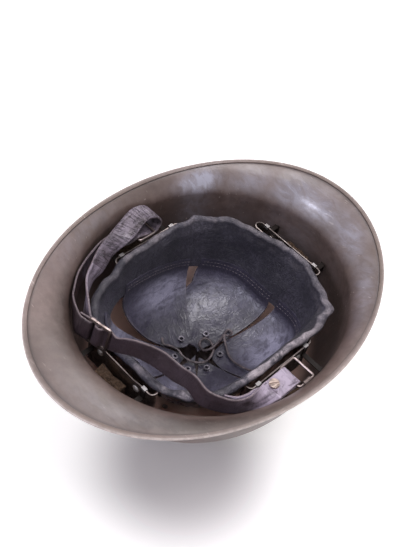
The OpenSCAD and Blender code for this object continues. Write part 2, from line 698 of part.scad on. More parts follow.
// Slide buckle: its own axes are the run of the strap, the strap's width and the outward face.
buckle_mid = [-22.5, -92.5, crease_z + 2];
buckle_turn = 12;
buckle_lean = 75;
function buckle_axes() = [
    [cos(buckle_turn), sin(buckle_turn), 0],
    [-sin(buckle_turn) * cos(buckle_lean), cos(buckle_turn) * cos(buckle_lean), sin(buckle_lean)],
    [sin(buckle_turn) * sin(buckle_lean), -cos(buckle_turn) * sin(buckle_lean), cos(buckle_lean)]
];
function in_buckle(run, width, face) =
    let (e = buckle_axes()) buckle_mid + run * e[0] + width * e[1] + face * e[2];
bar_pitch = 8.6;
module rounded_plate(l, w, r) {
    square([l - 2 * r, w], center = true);
    square([l, w - 2 * r], center = true);
    for (x = [-1, 1], y = [-1, 1])
        translate([x * (l / 2 - r), y * (w / 2 - r)]) circle(r = r, $fn = 24);
}
module slide_buckle() {
    slot = bar_pitch - buckle_bar;
    inner_w = strap_w + 0.8;
    color("#b9a7a2")
    placed() translate(buckle_mid) rotate([buckle_lean, 0, buckle_turn])
        linear_extrude(buckle_t, center = true) difference() {
            rounded_plate(2 * bar_pitch + buckle_bar, inner_w + 2 * buckle_bar, 1.5);
            for (side = [-1, 1])
                translate([side * bar_pitch / 2, 0]) square([slot, inner_w], center = true);
        }
}

// A flat strap through pairs of edge points. Each pair is [one edge, other edge].
function mids(pairs) = [for (p = pairs) (p[0] + p[1]) / 2];
module ribbon(pairs, t) {
    m = mids(pairs);
    rings = [for (i = [0 : last(pairs)])
        let (w = unit(pairs[i][1] - pairs[i][0]), n = unit(cross(tangent(m, i), w)) * t / 2)
        [pairs[i][0] + n, pairs[i][1] + n, pairs[i][1] - n, pairs[i][0] - n]];
    tail = last(pairs) * 4;
    faces = concat(
        [for (r = [0 : last(pairs) - 1], i = [0 : 3])
            let (j = (i + 1) % 4, a = r * 4, b = (r + 1) * 4)
            each [[a + i, a + j, b + i], [a + j, b + j, b + i]]],
        [[0, 3, 2], [0, 2, 1]],
        [[tail, tail + 1, tail + 2], [tail, tail + 2, tail + 3]]
    );
    polyhedron([for (r = rings) each r], faces, convexity = 8);
}
function smooth_pairs(pairs, steps) =
    let (a = smooth_route([for (p = pairs) p[0]], steps), b = smooth_route([for (p = pairs) p[1]], steps))
    [for (i = [0 : last(a)]) [a[i], b[i]]];
function lifted(pairs) = [for (p = pairs) [p[0] + [0, 0, crease_z], p[1] + [0, 0, crease_z]]];
function buckle_pair(run, face) = [in_buckle(run, strap_w / 2, face), in_buckle(run, -strap_w / 2, face)];

// How far the strap's middle lies from the middle of a bar of the buckle or ring.
on_plate = buckle_t / 2 + 0.3 + strap_t / 2;
beside_bar = buckle_bar / 2 + 0.2 + strap_t / 2;
on_bar = wire_d / 2 + 0.3 + strap_t / 2;
ply = strap_t + 0.4;
// Between the inner bar of a ring and the eye of its lug.
strap_mid_x = (ring_inner_x + wire_d / 2 + hinge_x - eye_r) / 2;
function across_ring(y, z) = [[strap_mid_x - strap_w / 2, y, z], [strap_mid_x + strap_w / 2, y, z]];
function across_left(y, z) = [for (p = across_ring(y, z)) [p[0] - 2 * strap_mid_x, p[1], p[2]]];
bar_y = ring_y - ring_half;
bar_z = ring_z - crease_z;
fold_reach = 3;
top_ply_z = bar_z + on_bar - 0.1;

// The strap's way, as pairs of edge points with their heights above the crease.
// It starts with the loose tail under the right end of the strap.
tail_run = [
    [[70, -62, 11.3], [70, -63.5, -4.7]],
    [[75.4, -54.4, 7.9], [76.9, -54, -8.1]],
    [[77.1, -45, 4.1], [79.6, -46, -11.4]],
    [[76.2, -36, -0.4], [85.4, -36, -13]]
];
under_screw = [for (y = [-26, -23.2, -18, -14]) across_ring(y, top_ply_z - ply)];
fold = [for (a = [-90 : 30 : 90]) across_ring(bar_y + fold_reach * cos(a), bar_z + on_bar * sin(a))];
over_screw = [for (y = [-13, -18, -23.2, -26]) across_ring(y, top_ply_z)];
// Over the front of the headband to the buckle.
front_run = [
    [[78, -36, 1], [87, -36, -11.5]],
    [[79.5, -45, 4.5], [82, -46, -11]],
    [[77.5, -55.5, 8], [79, -55, -8]],
    [[71, -64, 11.5], [71, -65.5, -4.5]],
    [[61, -69, 13], [59.5, -73, -2.5]],
    [[49, -69, 15.5], [47.5, -73, 0.6]],
    [[36, -67.5, 9], [34, -72.5, -6]],
    [[19, -70, 10], [18.5, -75.5, -5]],
    [[6, -80.5, 16], [7, -83, 0.6]],
    [[-2.5, -84.5, 13.5], [-2, -87.4, -1.5]],
    [[-9, -87, 9.5], [-10, -89, -6.3]]
];
// Through the buckle: behind both end bars and in front of the middle one.
weave = [
    [bar_pitch, -on_plate - 0.1], [bar_pitch / 2 + 0.3, -1.5], [bar_pitch / 2 - 1.1, 0],
    [1.9, on_plate - 0.3], [0, on_plate + 0.2], [-1.9, on_plate - 0.3],
    [1.1 - bar_pitch / 2, 0], [-bar_pitch / 2 - 0.3, -2.3], [-bar_pitch + 2, -3.9], [-bar_pitch, -4]
];
// Up the left side, on the inside.
inner_strand = [
    [[-34.5, -89, 9], [-35, -91.5, -6.3]],
    [[-46, -81.5, 8.5], [-47, -84, -7]],
    [[-62.5, -70, 7.5], [-64, -63.5, -6]],
    [[-72, -57, 6.5], [-69, -48, -6.5]],
    [[-80.5, -43, 6.5], [-75, -32, -4]],
    [[-88.5, -22, 7], [-74, -15, 4]],
    [[-95, 0, 8], [-79.5, 3, 7]]
];
// Loosely around the rear bar of the left ring, then up through the ring and over its front bar.
ring_turn = [
    [[-94, 12, 6.5], [-78, 13, 6]],
    [[-92.4, 17, 0], [-76.4, 18, -0.8]],
    [[-92.1, 14.5, -7], [-76.1, 15, -7.4]],
    across_left(9.5, -9),
    across_left(2, -6),
    across_left(-6, -3.2)
];
// Back along the wall to the left bar of the buckle.
outer_strand = [
    [[-93, -14, -4.5], [-78.5, -13, -8.5]],
    [[-88.5, -36, -0.5], [-86, -34, -15.8]],
    [[-77.5, -63, 0.5], [-76, -62, -15]],
    [[-65, -79, 1.5], [-64, -78, -14.3]],
    [[-57, -86, 2.5], [-56.5, -85.5, -13.3]]
];
end_fold = [
    [-18, 0.6], [-12, 1.9], [-bar_pitch, beside_bar + 0.05], [-bar_pitch + 1.65, 1.55], [-bar_pitch + beside_bar, 0],
    [-bar_pitch + 1.65, -1.55], [-bar_pitch, -beside_bar - 0.05], [-12, -1.9], [-18, -1.6]
];
module strap_screw_hole() {
    translate([screw_x, screw_y, crease_z - 15])
        cylinder(d = screw_shank_d + 2 * fit_gap, h = 20, $fn = 24);
}
module chinstrap() {
    pairs = concat(
        lifted(concat(tail_run, under_screw, fold, over_screw, front_run)),
        [for (p = weave) buckle_pair(p[0], p[1])],
        lifted(concat(inner_strand, ring_turn, outer_strand)),
        [for (p = end_fold) buckle_pair(p[0], p[1])]
    );
    color("#453a42")
    placed() difference() {
        ribbon(smooth_pairs(pairs, 2), strap_t);
        strap_screw_hole();
    }
}

// Slotted screw through both plies of the strap, in a flanged nut.
screw_x = strap_mid_x - screw_in;
screw_y = -20.5;
screw_shank_d = 3.4;
screw_head_h = 1.5;
slot_w = 1;
slot_depth = 0.8;
nut_t = 1.2;
strap_top = crease_z + top_ply_z + strap_t / 2 + fit_gap;
strap_under = crease_z + top_ply_z - ply - strap_t / 2 - fit_gap;
module strap_screw() {
    color("#b3a795")
    placed() translate([screw_x, screw_y, 0]) {
        difference() {
            translate([0, 0, strap_top]) cylinder(d = screw_head_d, h = screw_head_h, $fn = 40);
            translate([-screw_head_d, -slot_w / 2, strap_top + screw_head_h - slot_depth])
                cube([2 * screw_head_d, slot_w, 1]);
        }
        translate([0, 0, strap_under - nut_t])
            cylinder(d = screw_shank_d, h = strap_top - strap_under + nut_t, $fn = 28);
    }
}
module strap_nut() {
    color("#b3a795")
    placed() translate([screw_x, screw_y, strap_under - nut_t]) difference() {
        cylinder(d = screw_head_d, h = nut_t, $fn = 40);
        translate([0, 0, -1]) cylinder(d = screw_shank_d + 0.1, h = nut_t + 2, $fn = 28);
    }
}

shell();
crest();
crest_rivets();
headband();
tongue_rear_left();
tongue_rear();
tongue_right();
tongue_front_right();
tongue_front();
tongue_front_left();
eyelets();
lace();
spacer_rear();
spacer_front();
spacer_right();
spacer_left();
spacer_clips();
spacer_rivets();
pad_rear();
pad_front();
pad_right();
pad_left();
lug_right();
lug_left();
lug_rivets();
ring_right();
ring_left();
chinstrap();
slide_buckle();
strap_screw();
strap_nut();
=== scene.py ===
# Crest helmet of the 1920s, lying on its crest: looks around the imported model, in metres.
import math
import random
import bpy
import bmesh
from mathutils import Matrix, Vector, noise


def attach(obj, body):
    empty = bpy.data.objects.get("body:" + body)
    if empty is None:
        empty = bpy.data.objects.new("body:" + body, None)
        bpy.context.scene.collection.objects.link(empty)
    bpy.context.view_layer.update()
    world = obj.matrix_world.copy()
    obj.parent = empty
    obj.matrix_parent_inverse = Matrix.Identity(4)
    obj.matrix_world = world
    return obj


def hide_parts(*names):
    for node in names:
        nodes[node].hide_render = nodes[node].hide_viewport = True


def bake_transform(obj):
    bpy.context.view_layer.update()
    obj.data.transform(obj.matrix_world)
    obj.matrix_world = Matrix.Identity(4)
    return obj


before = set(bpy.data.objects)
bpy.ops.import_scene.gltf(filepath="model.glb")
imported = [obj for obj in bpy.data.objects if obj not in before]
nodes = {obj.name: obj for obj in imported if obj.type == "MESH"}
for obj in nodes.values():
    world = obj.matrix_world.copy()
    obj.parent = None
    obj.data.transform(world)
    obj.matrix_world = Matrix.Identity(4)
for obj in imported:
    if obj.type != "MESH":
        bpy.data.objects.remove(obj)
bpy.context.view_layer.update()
scene = bpy.context.scene
chance = random.Random(11)

# camera, from the brim and headband seen in the photograph
cameraPlace = dict(
    at=(0.20425, -0.31358, 0.58879),
    right=(0.6911, 0.7035, 0.1656),
    up=(-0.6228, 0.4634, 0.6304),
    lens=52.65,
    sensor=36,
    near=0.02,
    far=30,
)


def makeCamera(place):
    data = bpy.data.cameras.new("camera")
    data.lens = place["lens"]
    data.sensor_width = place["sensor"]
    data.clip_start, data.clip_end = place["near"], place["far"]
    camera = bpy.data.objects.new("camera", data)
    scene.collection.objects.link(camera)
    right = Vector(place["right"]).normalized()
    back = right.cross(Vector(place["up"])).normalized()
    turn = Matrix((right, back.cross(right), back)).transposed().to_4x4()
    camera.matrix_world = Matrix.Translation(place["at"]) @ turn
    scene.camera = camera


makeCamera(cameraPlace)
print("camera placed")


# numbers below are in millimetres, as in the part's source, until inFrame makes them metres
millimetre = 0.001
skullShift = 4
creaseZ = 130.25
seamGap = 2e-6


def inFrame(point):
    return Vector((point[0], point[1] + skullShift, point[2])) * millimetre


def underCrease(x, y, z):
    return inFrame((x, y, z + creaseZ))


def sinD(a):
    return math.sin(math.radians(a))


def cosD(a):
    return math.cos(math.radians(a))


def around(radius, a, z=0):
    return Vector((radius * cosD(a), radius * sinD(a), z))


def mix(a, b, f):
    return a + (b - a) * f


def rise(low, high, value):
    f = min(1, max(0, (value - low) / (high - low)))
    return f * f * (3 - 2 * f)


def hump(middle, width, value):
    return math.exp(-(((value - middle) / width) ** 2))


def nearTurn(a, at, width):
    return hump(0, width, (a - at + 180) % 360 - 180)


def rough(point, size, seed):
    return noise.noise(Vector(point) / size + Vector((seed * 7.3, seed * 3.1, seed * 5.7)))


def roughSum(point, table):
    # the table holds size, seed and height
    return sum(rough(point, size, seed) * height for size, seed, height in table)


# small helpers
def deselectAll():
    if bpy.context.object and bpy.context.object.mode != "OBJECT":
        bpy.ops.object.mode_set(mode="OBJECT")
    bpy.ops.object.select_all(action="DESELECT")


def pick(piece):
    deselectAll()
    piece.select_set(True)
    bpy.context.view_layer.objects.active = piece


def applyModifiers(piece):
    pick(piece)
    for modifier in list(piece.modifiers):
        bpy.ops.object.modifier_apply(modifier=modifier.name)


def smooth(piece, degrees=None):
    pick(piece)
    if degrees is None:
        bpy.ops.object.shade_smooth()
    else:
        bpy.ops.object.shade_smooth_by_angle(angle=math.radians(degrees))


def mend(piece, fill=True):
    # merged seams, closed ends and outward faces
    pick(piece)
    bpy.ops.object.mode_set(mode="EDIT")
    bpy.ops.mesh.select_all(action="SELECT")
    bpy.ops.mesh.remove_doubles(threshold=seamGap)
    if fill:
        bpy.ops.mesh.select_all(action="DESELECT")
        bpy.ops.mesh.select_mode(type="VERT")
        bpy.ops.mesh.select_non_manifold()
        bpy.ops.mesh.fill_holes(sides=0)
    bpy.ops.mesh.select_all(action="SELECT")
    bpy.ops.mesh.normals_make_consistent(inside=False)
    bpy.ops.object.mode_set(mode="OBJECT")


def bentGrid(name, columns, rows, place, marks=None, mapSize=(1, 1)):
    # a flat grid whose vertices are then put in place, with its own map in metres
    deselectAll()
    bpy.ops.mesh.primitive_grid_add(x_subdivisions=columns, y_subdivisions=rows, size=1)
    piece = bpy.context.object
    piece.name = piece.data.name = name
    spots = [(min(1, max(0, v.co.x + 0.5)), min(1, max(0, v.co.y + 0.5))) for v in piece.data.vertices]
    for vertex, spot in zip(piece.data.vertices, spots):
        vertex.co = place(*spot)
    for mark, value in (marks or {}).items():
        attribute = piece.data.attributes.new(mark, "FLOAT", "POINT")
        attribute.data.foreach_set("value", [value(*spot) for spot in spots])
    for corner in piece.data.uv_layers.active.data:
        corner.uv = (corner.uv[0] * mapSize[0], corner.uv[1] * mapSize[1])
    return piece


def thicken(piece, amount, offset, bevel=0):
    pick(piece)
    wall = piece.modifiers.new("wall", "SOLIDIFY")
    wall.thickness = amount
    wall.offset = offset
    wall.use_quality_normals = True
    wall.use_even_offset = True
    if bevel:
        edge = piece.modifiers.new("edge", "BEVEL")
        edge.width = bevel
        edge.segments = 2
        edge.limit_method = "ANGLE"
        edge.angle_limit = math.radians(50)
    applyModifiers(piece)


def dressed(piece, material, body="root", replaces=()):
    piece.data.materials.clear()
    piece.data.materials.append(material)
    if body:
        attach(piece, body)
    if replaces:
        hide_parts(*replaces)
    return piece


def copyOf(nodeName, name):
    piece = nodes[nodeName].copy()
    piece.data = nodes[nodeName].data.copy()
    for key in list(piece.keys()):
        del piece[key]
    piece.parent = None
    scene.collection.objects.link(piece)
    piece.name = piece.data.name = name
    mend(piece, fill=False)
    return piece


def catmull(points, steps):
    result = []
    last = len(points) - 1
    for i in range(last):
        a, b, c, d = points[max(0, i - 1)], points[i], points[i + 1], points[min(last, i + 2)]
        for k in range(steps):
            t = k / steps
            result.append(
                b + (c - a) * (t / 2) + (2 * a - 5 * b + 4 * c - d) * (t * t / 2)
                + (3 * b - a - 3 * c + d) * (t ** 3 / 2)
            )
    result.append(points[last].copy())
    return result


def direction(points, i):
    return points[min(len(points) - 1, i + 1)] - points[max(0, i - 1)]


# material building blocks
def addNode(tree, kind, inputs=None, **settings):
    made = tree.nodes.new("ShaderNode" + kind)
    for setting, value in settings.items():
        setattr(made, setting, value)
    for socket, value in (inputs or {}).items():
        if isinstance(value, bpy.types.NodeSocket):
            tree.links.new(value, made.inputs[socket])
        elif value is not None:
            made.inputs[socket].default_value = value
    return made


def grain(tree, place, scale, detail=4, roughness=0.55, distortion=0):
    values = {"Vector": place, "Scale": scale, "Detail": detail, "Roughness": roughness, "Distortion": distortion}
    return addNode(tree, "TexNoise", values).outputs["Fac"]


def span(tree, value, low, high, fromZero=0, toOne=1):
    limits = {0: value, 1: low, 2: high, 3: fromZero, 4: toOne}
    return addNode(tree, "MapRange", limits, interpolation_type="SMOOTHSTEP").outputs[0]


def patch(tree, noiseValues, limits=None, stretch=None, turn=None, source="Object"):
    place = addNode(tree, "TexCoord").outputs[source]
    if stretch:
        place = addNode(tree, "Mapping", {"Vector": place, "Scale": stretch, "Rotation": turn}).outputs[0]
    made = grain(tree, place, *noiseValues)
    return span(tree, made, *limits) if limits else made


def reckon(tree, operation, a, b, clamp=False):
    return addNode(tree, "Math", {0: a, 1: b}, operation=operation, use_clamp=clamp).outputs[0]


def makeFinish(name, values, special=None):
    # patches, marks on the mesh and numbers are multiplied, to lay colours, set sockets and raise relief
    material = bpy.data.materials.new(name)
    material.use_nodes = True
    tree = material.node_tree
    shader = tree.nodes["Principled BSDF"]
    for socket, value in {"Base_Color": values["dark"], **values["shader"]}.items():
        value = (*value, 1) if isinstance(value, tuple) else value
        shader.inputs[socket.replace("_", " ")].default_value = value
    parts = {}

    def part(key):
        if key not in parts:
            source, *how = values["patches"].get(key, (None,))
            if source is None:
                parts[key] = addNode(tree, "Attribute", attribute_name=key).outputs["Fac"]
            elif isinstance(source, str):
                parts[key] = span(tree, part(source), *how[0])
            else:
                parts[key] = patch(tree, source, *how)
        return parts[key]

    def product(*keys):
        factors = [part(key) if isinstance(key, str) else key for key in keys]
        result = factors[0]
        for factor in factors[1:]:
            result = reckon(tree, "MULTIPLY", result, factor)
        return result

    if special:
        parts.update(special(tree, product))
    colour = (*values["dark"], 1)
    for layer, *keys in values["layers"]:
        pair = {"Fac": product(*keys), "Color1": colour, "Color2": (*values[layer], 1)}
        colour = addNode(tree, "MixRGB", pair, blend_type="OVERLAY" if layer == "overlay" else "MIX").outputs[0]
    tree.links.new(colour, shader.inputs["Base Color"])
    for socket, (first, *others) in values.get("sums", {}).items():
        total = product(*first)
        for keys in others:
            total = reckon(tree, "ADD", total, product(*keys))
        tree.links.new(total, shader.inputs[socket])
    normal = None
    for depth, *keys in values["relief"]:
        bump = {"Height": product(*keys), "Distance": depth, "Strength": 1.0, "Normal": normal}
        normal = addNode(tree, "Bump", bump).outputs[0]
    tree.links.new(normal, shader.inputs["Normal"])
    return material


# patches: noise (scale, detail, roughness, distortion), where they begin and are full with the values there,
# stretch, turn and place; or the name of another patch and its limits
# layers: a colour and what it follows; the one named overlay is laid in that way
paintValues = dict(
    dark=(0.135, 0.092, 0.083),
    light=(0.225, 0.162, 0.15),
    overlay=(0.225, 0.162, 0.15),
    # inside the skull, darker: partly darker paint, partly painted shade
    inside=(0.07, 0.046, 0.042),
    # painted light: a much lighter colour in a band deep in the skull, where it shows in shade between the tongues
    deep=(0.75, 0.5, 0.43),
    olive=(0.135, 0.093, 0.068),
    # bare metal of the scuffs and worn edges
    worn=(0.7, 0.6, 0.57),
    # darker colour on given places of the brim and skull, a painted shade along the crease among them
    grime=(0.06, 0.038, 0.032),
    # painted highlight: a pale lavender colour on the polished places of the brim, broken into streaks
    polished=(0.4, 0.385, 0.47),
    groove=(0.035, 0.024, 0.024),
    shader=dict(Roughness=0.4, Specular_IOR_Level=0.75, Coat_Weight=0.12, Coat_Roughness=0.28),
    patches=dict(
        clouds=((17, 6, 0.62, 0.4), (0.34, 0.66)),
        patina=((8, 4, 0.6, 0.3), (0.4, 0.66, 0, 0.6)),
        mottle=((130, 5, 0.65), (0.3, 0.72)),
        silted=("mottle", (0, 1, 0.6, 1)),
        specks=((900, 2, 0.5), (0.66, 0.74, 0, 0.3)),
        scratched=((30,), (0.45, 0.6)),
        chips=((210, 5, 0.7), (0.36, 0.6, 0.6, 1)),
        silt=((60,), (0.25, 0.6, 0.7, 1)),
        rubbing=((1, 5, 0.62, 0.5), (0.36, 0.62, 0.45, 1), (60, 190, 120), (0, 0, 0.5)),
        sheen=((38, 5, 0.6, 0.3), (0.3, 0.7, 0.36, 0.5)),
        swell=((26, 3, 0.5),),
        pores=((240, 4, 0.6),),
    ),
    # direction and size of the thin bright scuffs
    scuffs=((0.4, 26), (1.7, 34), (2.6, 21)),
    layers=(
        ("light", "clouds"), ("olive", "patina"), ("overlay", "mottle", 0.35), ("grime", "grimy", "silted"),
        ("inside", "inner"), ("deep", "deep"), ("groove", "specks"), ("worn", "scuffs", 0.45),
        ("worn", "edge", "chips"), ("groove", "groove", "silt"), ("polished", "polished", "rubbing", 0.7),
    ),
    sums=dict(Roughness=(("sheen",), ("inner", 0.18), ("polished", "rubbing", -0.22))),
    relief=((0.0016, "swell"), (0.00009, "pores"), (-0.00004, "scuffs")),
)


def paintScuffs(tree, product):
    scuffs = 0.0
    for turn, size in paintValues["scuffs"]:
        streak = patch(tree, (1, 2, 0.5), (0.7, 0.77), (size * 2.4, size * 26, size * 9), (0.3, 0.5, turn))
        scuffs = reckon(tree, "MAXIMUM", scuffs, reckon(tree, "MULTIPLY", streak, product("scratched")))
    return dict(scuffs=scuffs)


leatherValues = dict(
    band=dict(
        dark=(0.036, 0.033, 0.046), light=(0.085, 0.077, 0.105), rubbed=(0.42, 0.365, 0.4),
        polish=(0.2, 0.18, 0.25), gloss=0.4, roughness=(0.4, 0.58), wrinkle=210, depth=0.0003,
    ),
    tongue=dict(
        dark=(0.032, 0.028, 0.046), light=(0.072, 0.063, 0.102), rubbed=(0.24, 0.21, 0.25),
        polish=(0.28, 0.268, 0.365), gloss=0.65, roughness=(0.28, 0.42), wrinkle=190, depth=0.00014,
    ),
    patches=dict(
        clouds=((34, 5, 0.6, 0.5), (0.32, 0.68)),
        fine=((420, 4, 0.6),),
        finely=("fine", (0.35, 0.65, 0, 0.4)),
        smear=((1, 5, 0.68, 0.7), (0.34, 0.62, 0.3, 1), (150, 90, 260), (0.2, 0.4, 0.3)),
        scuffed=((170, 5, 0.7), (0.3, 0.62, 0.35, 1)),
        faded=((52, 5, 0.66, 0.6), (0.38, 0.62, 0.05, 1.2)),
        swell=((46, 3, 0.5, 0.4),),
        folds=((1, 4, 0.6, 0.3), None, (60, 110, 640), (0.3, 0.2, 0.1)),
    ),
    layers=(
        ("light", "clouds"), ("overlay", "finely"), ("dark", "cracks"), ("polish", "polish", "smear"),
        ("rubbed", "rubbed"), ("dark", "shade", 0.75),
    ),
    sums=dict(Roughness=(("dull",), ("rubbed", 0.25), ("polish", "smear", -0.08))),
    relief=((0.65, "crackle"), (2.8, "swell"), (0.9, "folds"), (0.4, "fine")),
)


def makeLeather(name, kind):
    values = dict(leatherValues, **leatherValues[kind])
    values["overlay"] = values["light"]
    values["shader"] = dict(
        Roughness=0.45, Specular_IOR_Level=values["gloss"], Sheen_Weight=0.03, Sheen_Roughness=0.5
    )
    values["patches"] = dict(values["patches"], dull=((90, 5, 0.6), (0.3, 0.7, *values["roughness"])))
    values["relief"] = [(share * values["depth"], key) for share, key in values["relief"]]

    def crackleAndRubHighlight(tree, product):
        place = addNode(tree, "TexCoord").outputs["Object"]
        pull = addNode(tree, "TexNoise", {"Vector": place, "Scale": 55.0}).outputs["Color"]
        pulled = addNode(tree, "VectorMath", {0: place, 1: pull}, operation="MULTIPLY_ADD").outputs[0]
        inputs = {"Vector": pulled, "Scale": values["wrinkle"]}
        cells = addNode(tree, "TexVoronoi", inputs, feature="DISTANCE_TO_EDGE").outputs["Distance"]
        crackle = span(tree, cells, 0.0, 0.16)
        rubbed = reckon(tree, "MULTIPLY", product("rub", "scuffed"), product("faded"), True)
        return dict(crackle=crackle, cracks=reckon(tree, "SUBTRACT", 1.0, crackle), rubbed=rubbed)

    return makeFinish(name, values, crackleAndRubHighlight)


strapValues = dict(
    dark=(0.046, 0.03, 0.037),
    light=(0.17, 0.132, 0.18),
    # painted highlight: streaks of pale lavender on the worn parts of the strap
    polished=(0.45, 0.375, 0.48),
    cut=(0.21, 0.16, 0.175),
    crease=(0.018, 0.012, 0.018),
    shader=dict(Roughness=0.4, Specular_IOR_Level=0.55, Coat_Weight=0.1, Coat_Roughness=0.3),
    patches=dict(
        clouds=((60, 5, 0.6, 0.4), (0.34, 0.66)),
        # fine dark creases across the strap where it bends
        waves=((1, 5, 0.66, 1.1), (0.5, 0.6), (780, 90, 1), None, "UV"),
        streaks=((1, 5, 0.68, 0.8), (0.34, 0.62, 0, 0.8), (60, 190, 1), None, "UV"),
        fray=((240, 4, 0.7), (0.28, 0.6, 0.45, 1)),
        dull=((140, 4, 0.6), (0.3, 0.7, 0.32, 0.46)),
        swell=((110, 4, 0.6),),
        fine=((800, 3, 0.6), None, None, None, "UV"),
    ),
    # the wear mark lightens the strap for real wear and as a painted sheen; where it is low the strap stays dark as
    # painted shade
    layers=(
        ("light", "clouds", "worn"), ("crease", "waves", "creased", 0.7), ("polished", "streaks", "worn", "worn"),
        ("cut", "cut", "fray"),
    ),
    sums=dict(Roughness=(("dull",), ("cut", "fray", 0.3))),
    relief=((-0.0005, "waves", "creased"), (0.0006, "swell"), (0.00012, "fine")),
)
feltValues = dict(
    dark=(0.022, 0.013, 0.009),
    light=(0.15, 0.095, 0.066),
    hair=(0.17, 0.13, 0.11),
    shader=dict(
        Base_Color=(0.05, 0.036, 0.03), Roughness=0.95, Sheen_Weight=0.08, Sheen_Roughness=0.45,
        Sheen_Tint=(0.6, 0.42, 0.33), Specular_IOR_Level=0.15,
    ),
    patches=dict(
        tufts=((330, 6, 0.72, 1.6),),
        tufted=("tufts", (0.32, 0.66)),
        hairs=((1, 4, 0.6, 1.2), None, (500, 2400, 900), (0.5, 0.2, 0.9)),
        haired=("hairs", (0.55, 0.7, 0, 0.6)),
    ),
    layers=(("light", "tufted"), ("hair", "haired")),
    relief=((0.0016, "tufts"), (0.0005, "hairs")),
)
laceValues = dict(
    dark=(0.05, 0.038, 0.045),
    light=(0.17, 0.135, 0.145),
    groove=(0.03, 0.023, 0.028),
    shader=dict(Base_Color=(0.1, 0.08, 0.09), Roughness=0.5, Specular_IOR_Level=0.5),
    patches=dict(
        faded=((190, 5, 0.65), (0.34, 0.66)),
        dull=("faded", (0, 1, 0.42, 0.62)),
        twist=((1, 3, 0.6, 0.6), None, (120, 900, 1), None, "UV"),
        twisted=("twist", (0.5, 0.66, 0, 0.7)),
        fine=((700, 3),),
    ),
    layers=(("light", "faded"), ("groove", "twisted")),
    sums=dict(Roughness=(("dull",),)),
    relief=((0.0003, "twist"), (0.0001, "fine")),
)


def makeMetal(name, colour, tarnish, roughness, dirt, scale=1.0, paintedUnder=None):
    paintEdge = 0.0015
    values = dict(
        dark=colour,
        tarnish=tarnish,
        shader=dict(Roughness=roughness, Metallic=1.0, Specular_IOR_Level=0.2),
        patches=dict(
            stain=((90 * scale, 6, 0.65, 0.5), (0.36, 0.66)),
            spots=((520 * scale, 4, 0.6), (0.55, 0.7, 0, dirt)),
            dull=("stain", (0, 1, roughness, roughness + 0.22)),
            pits=((420 * scale, 4, 0.6),),
            brushed=((1, 3), None, (300, 300, 1800)),
        ),
        layers=(("tarnish", "dirty"),),
        sums=dict(Roughness=(("dull",),)),
        relief=((0.0001, "pits"), (0.00005, "brushed")),
    )

    def dirtAndPaint(tree, product):
        dirty = reckon(tree, "MAXIMUM", product("stain", dirt), product("spots"))
        if not paintedUnder:
            return dict(dirty=dirty)
        values["sums"]["Metallic"] = (1.0,), ("painted", -1.0)
        height = addNode(tree, "SeparateXYZ", {0: addNode(tree, "TexCoord").outputs["Object"]}).outputs["Z"]
        painted = span(tree, height, paintedUnder, paintedUnder - paintEdge)
        return dict(dirty=reckon(tree, "MAXIMUM", dirty, painted), painted=painted)

    return makeFinish(name, values, dirtAndPaint)


paint = makeFinish("shellPaint", paintValues, paintScuffs)
bandLeather = makeLeather("bandLeather", "band")
tongueLeather = makeLeather("tongueLeather", "tongue")
strapLeather = makeFinish("strapLeather", strapValues)
laceLeather = makeFinish("laceLeather", laceValues)
felt = makeFinish("feltWool", feltValues)
# colour, tarnish, roughness, share of the dirt, size of its patches and height under which it is painted
metals = dict(
    strip=makeMetal("springSteel", (0.42, 0.36, 0.35), (0.09, 0.07, 0.065), 0.32, 0.85),
    wire=makeMetal("ringSteel", (0.36, 0.295, 0.29), (0.1, 0.075, 0.07), 0.3, 0.75),
    rivet=makeMetal("rivetMetal", (0.95, 0.92, 0.92), (0.5, 0.45, 0.44), 0.48, 0.35, 1.5),
    clip=makeMetal("clipMetal", (0.5, 0.47, 0.48), (0.018, 0.013, 0.012), 0.34, 0.5, 1.0, 0.1222),
    eyelet=makeMetal("eyeletMetal", (0.24, 0.22, 0.26), (0.06, 0.055, 0.065), 0.34, 0.7, 2.0),
    brass=makeMetal("paleBrass", (0.6, 0.49, 0.45), (0.27, 0.2, 0.17), 0.3, 0.5, 1.5),
)
print("materials done")


# lace, the one free cord
lace = dict(
    diameter=2,
    sides=12,
    steps=8,
    # plan position and depth under the crease, as in the part's source
    route=[
        (-25, -17, 71.7), (-20, -19.5, 72.5), (-16, -15.4, 74.3), (-10, -12.4, 75.6), (-3, -13.3, 76),
        (5, -10.8, 76.2), (10.4, -5.7, 76.2), (12, 1, 76.2), (8.6, 10, 76.4), (1, 15, 76.2),
        (-5.3, 13, 76.2), (-3.8, 6.4, 76.4), (3, 4, 75.8), (6.5, 9, 74), (6.3, 15.7, 73.4),
        (5, 21.6, 74.6), (3, 28, 74.8), (2, 33.6, 74), (6, 34.2, 73.7), (7, 29, 73.2),
        (4.6, 26, 72.4), (10.6, 21.9, 74.2), (18.9, 16.9, 74.4), (27, 14, 72.7), (35.8, 13.2, 69),
        (44, 11.8, 63), (51, 10, 54.5),
    ],
)


def makeTube(name, points, diameter, sides):
    length = sum((b - a).length for a, b in zip(points, points[1:]))

    def place(u, v):
        i = round(u * (len(points) - 1))
        ahead = direction(points, i).normalized()
        side = Vector((0.02, 0.01, 1)).cross(ahead).normalized()
        turn = 2 * math.pi * v
        return points[i] + (side * math.cos(turn) + ahead.cross(side) * math.sin(turn)) * diameter / 2

    tube = bentGrid(name, len(points) - 1, sides, place, mapSize=(length, diameter * math.pi))
    mend(tube)
    smooth(tube, 50)
    return tube, length


laceLine = catmull([underCrease(x, y, -depth) for x, y, depth in lace["route"]], lace["steps"])
laceTube, laceLength = makeTube("laceTube", laceLine, lace["diameter"] * millimetre, lace["sides"])
dressed(laceTube, laceLeather, replaces=("lace",))
print("lace done")


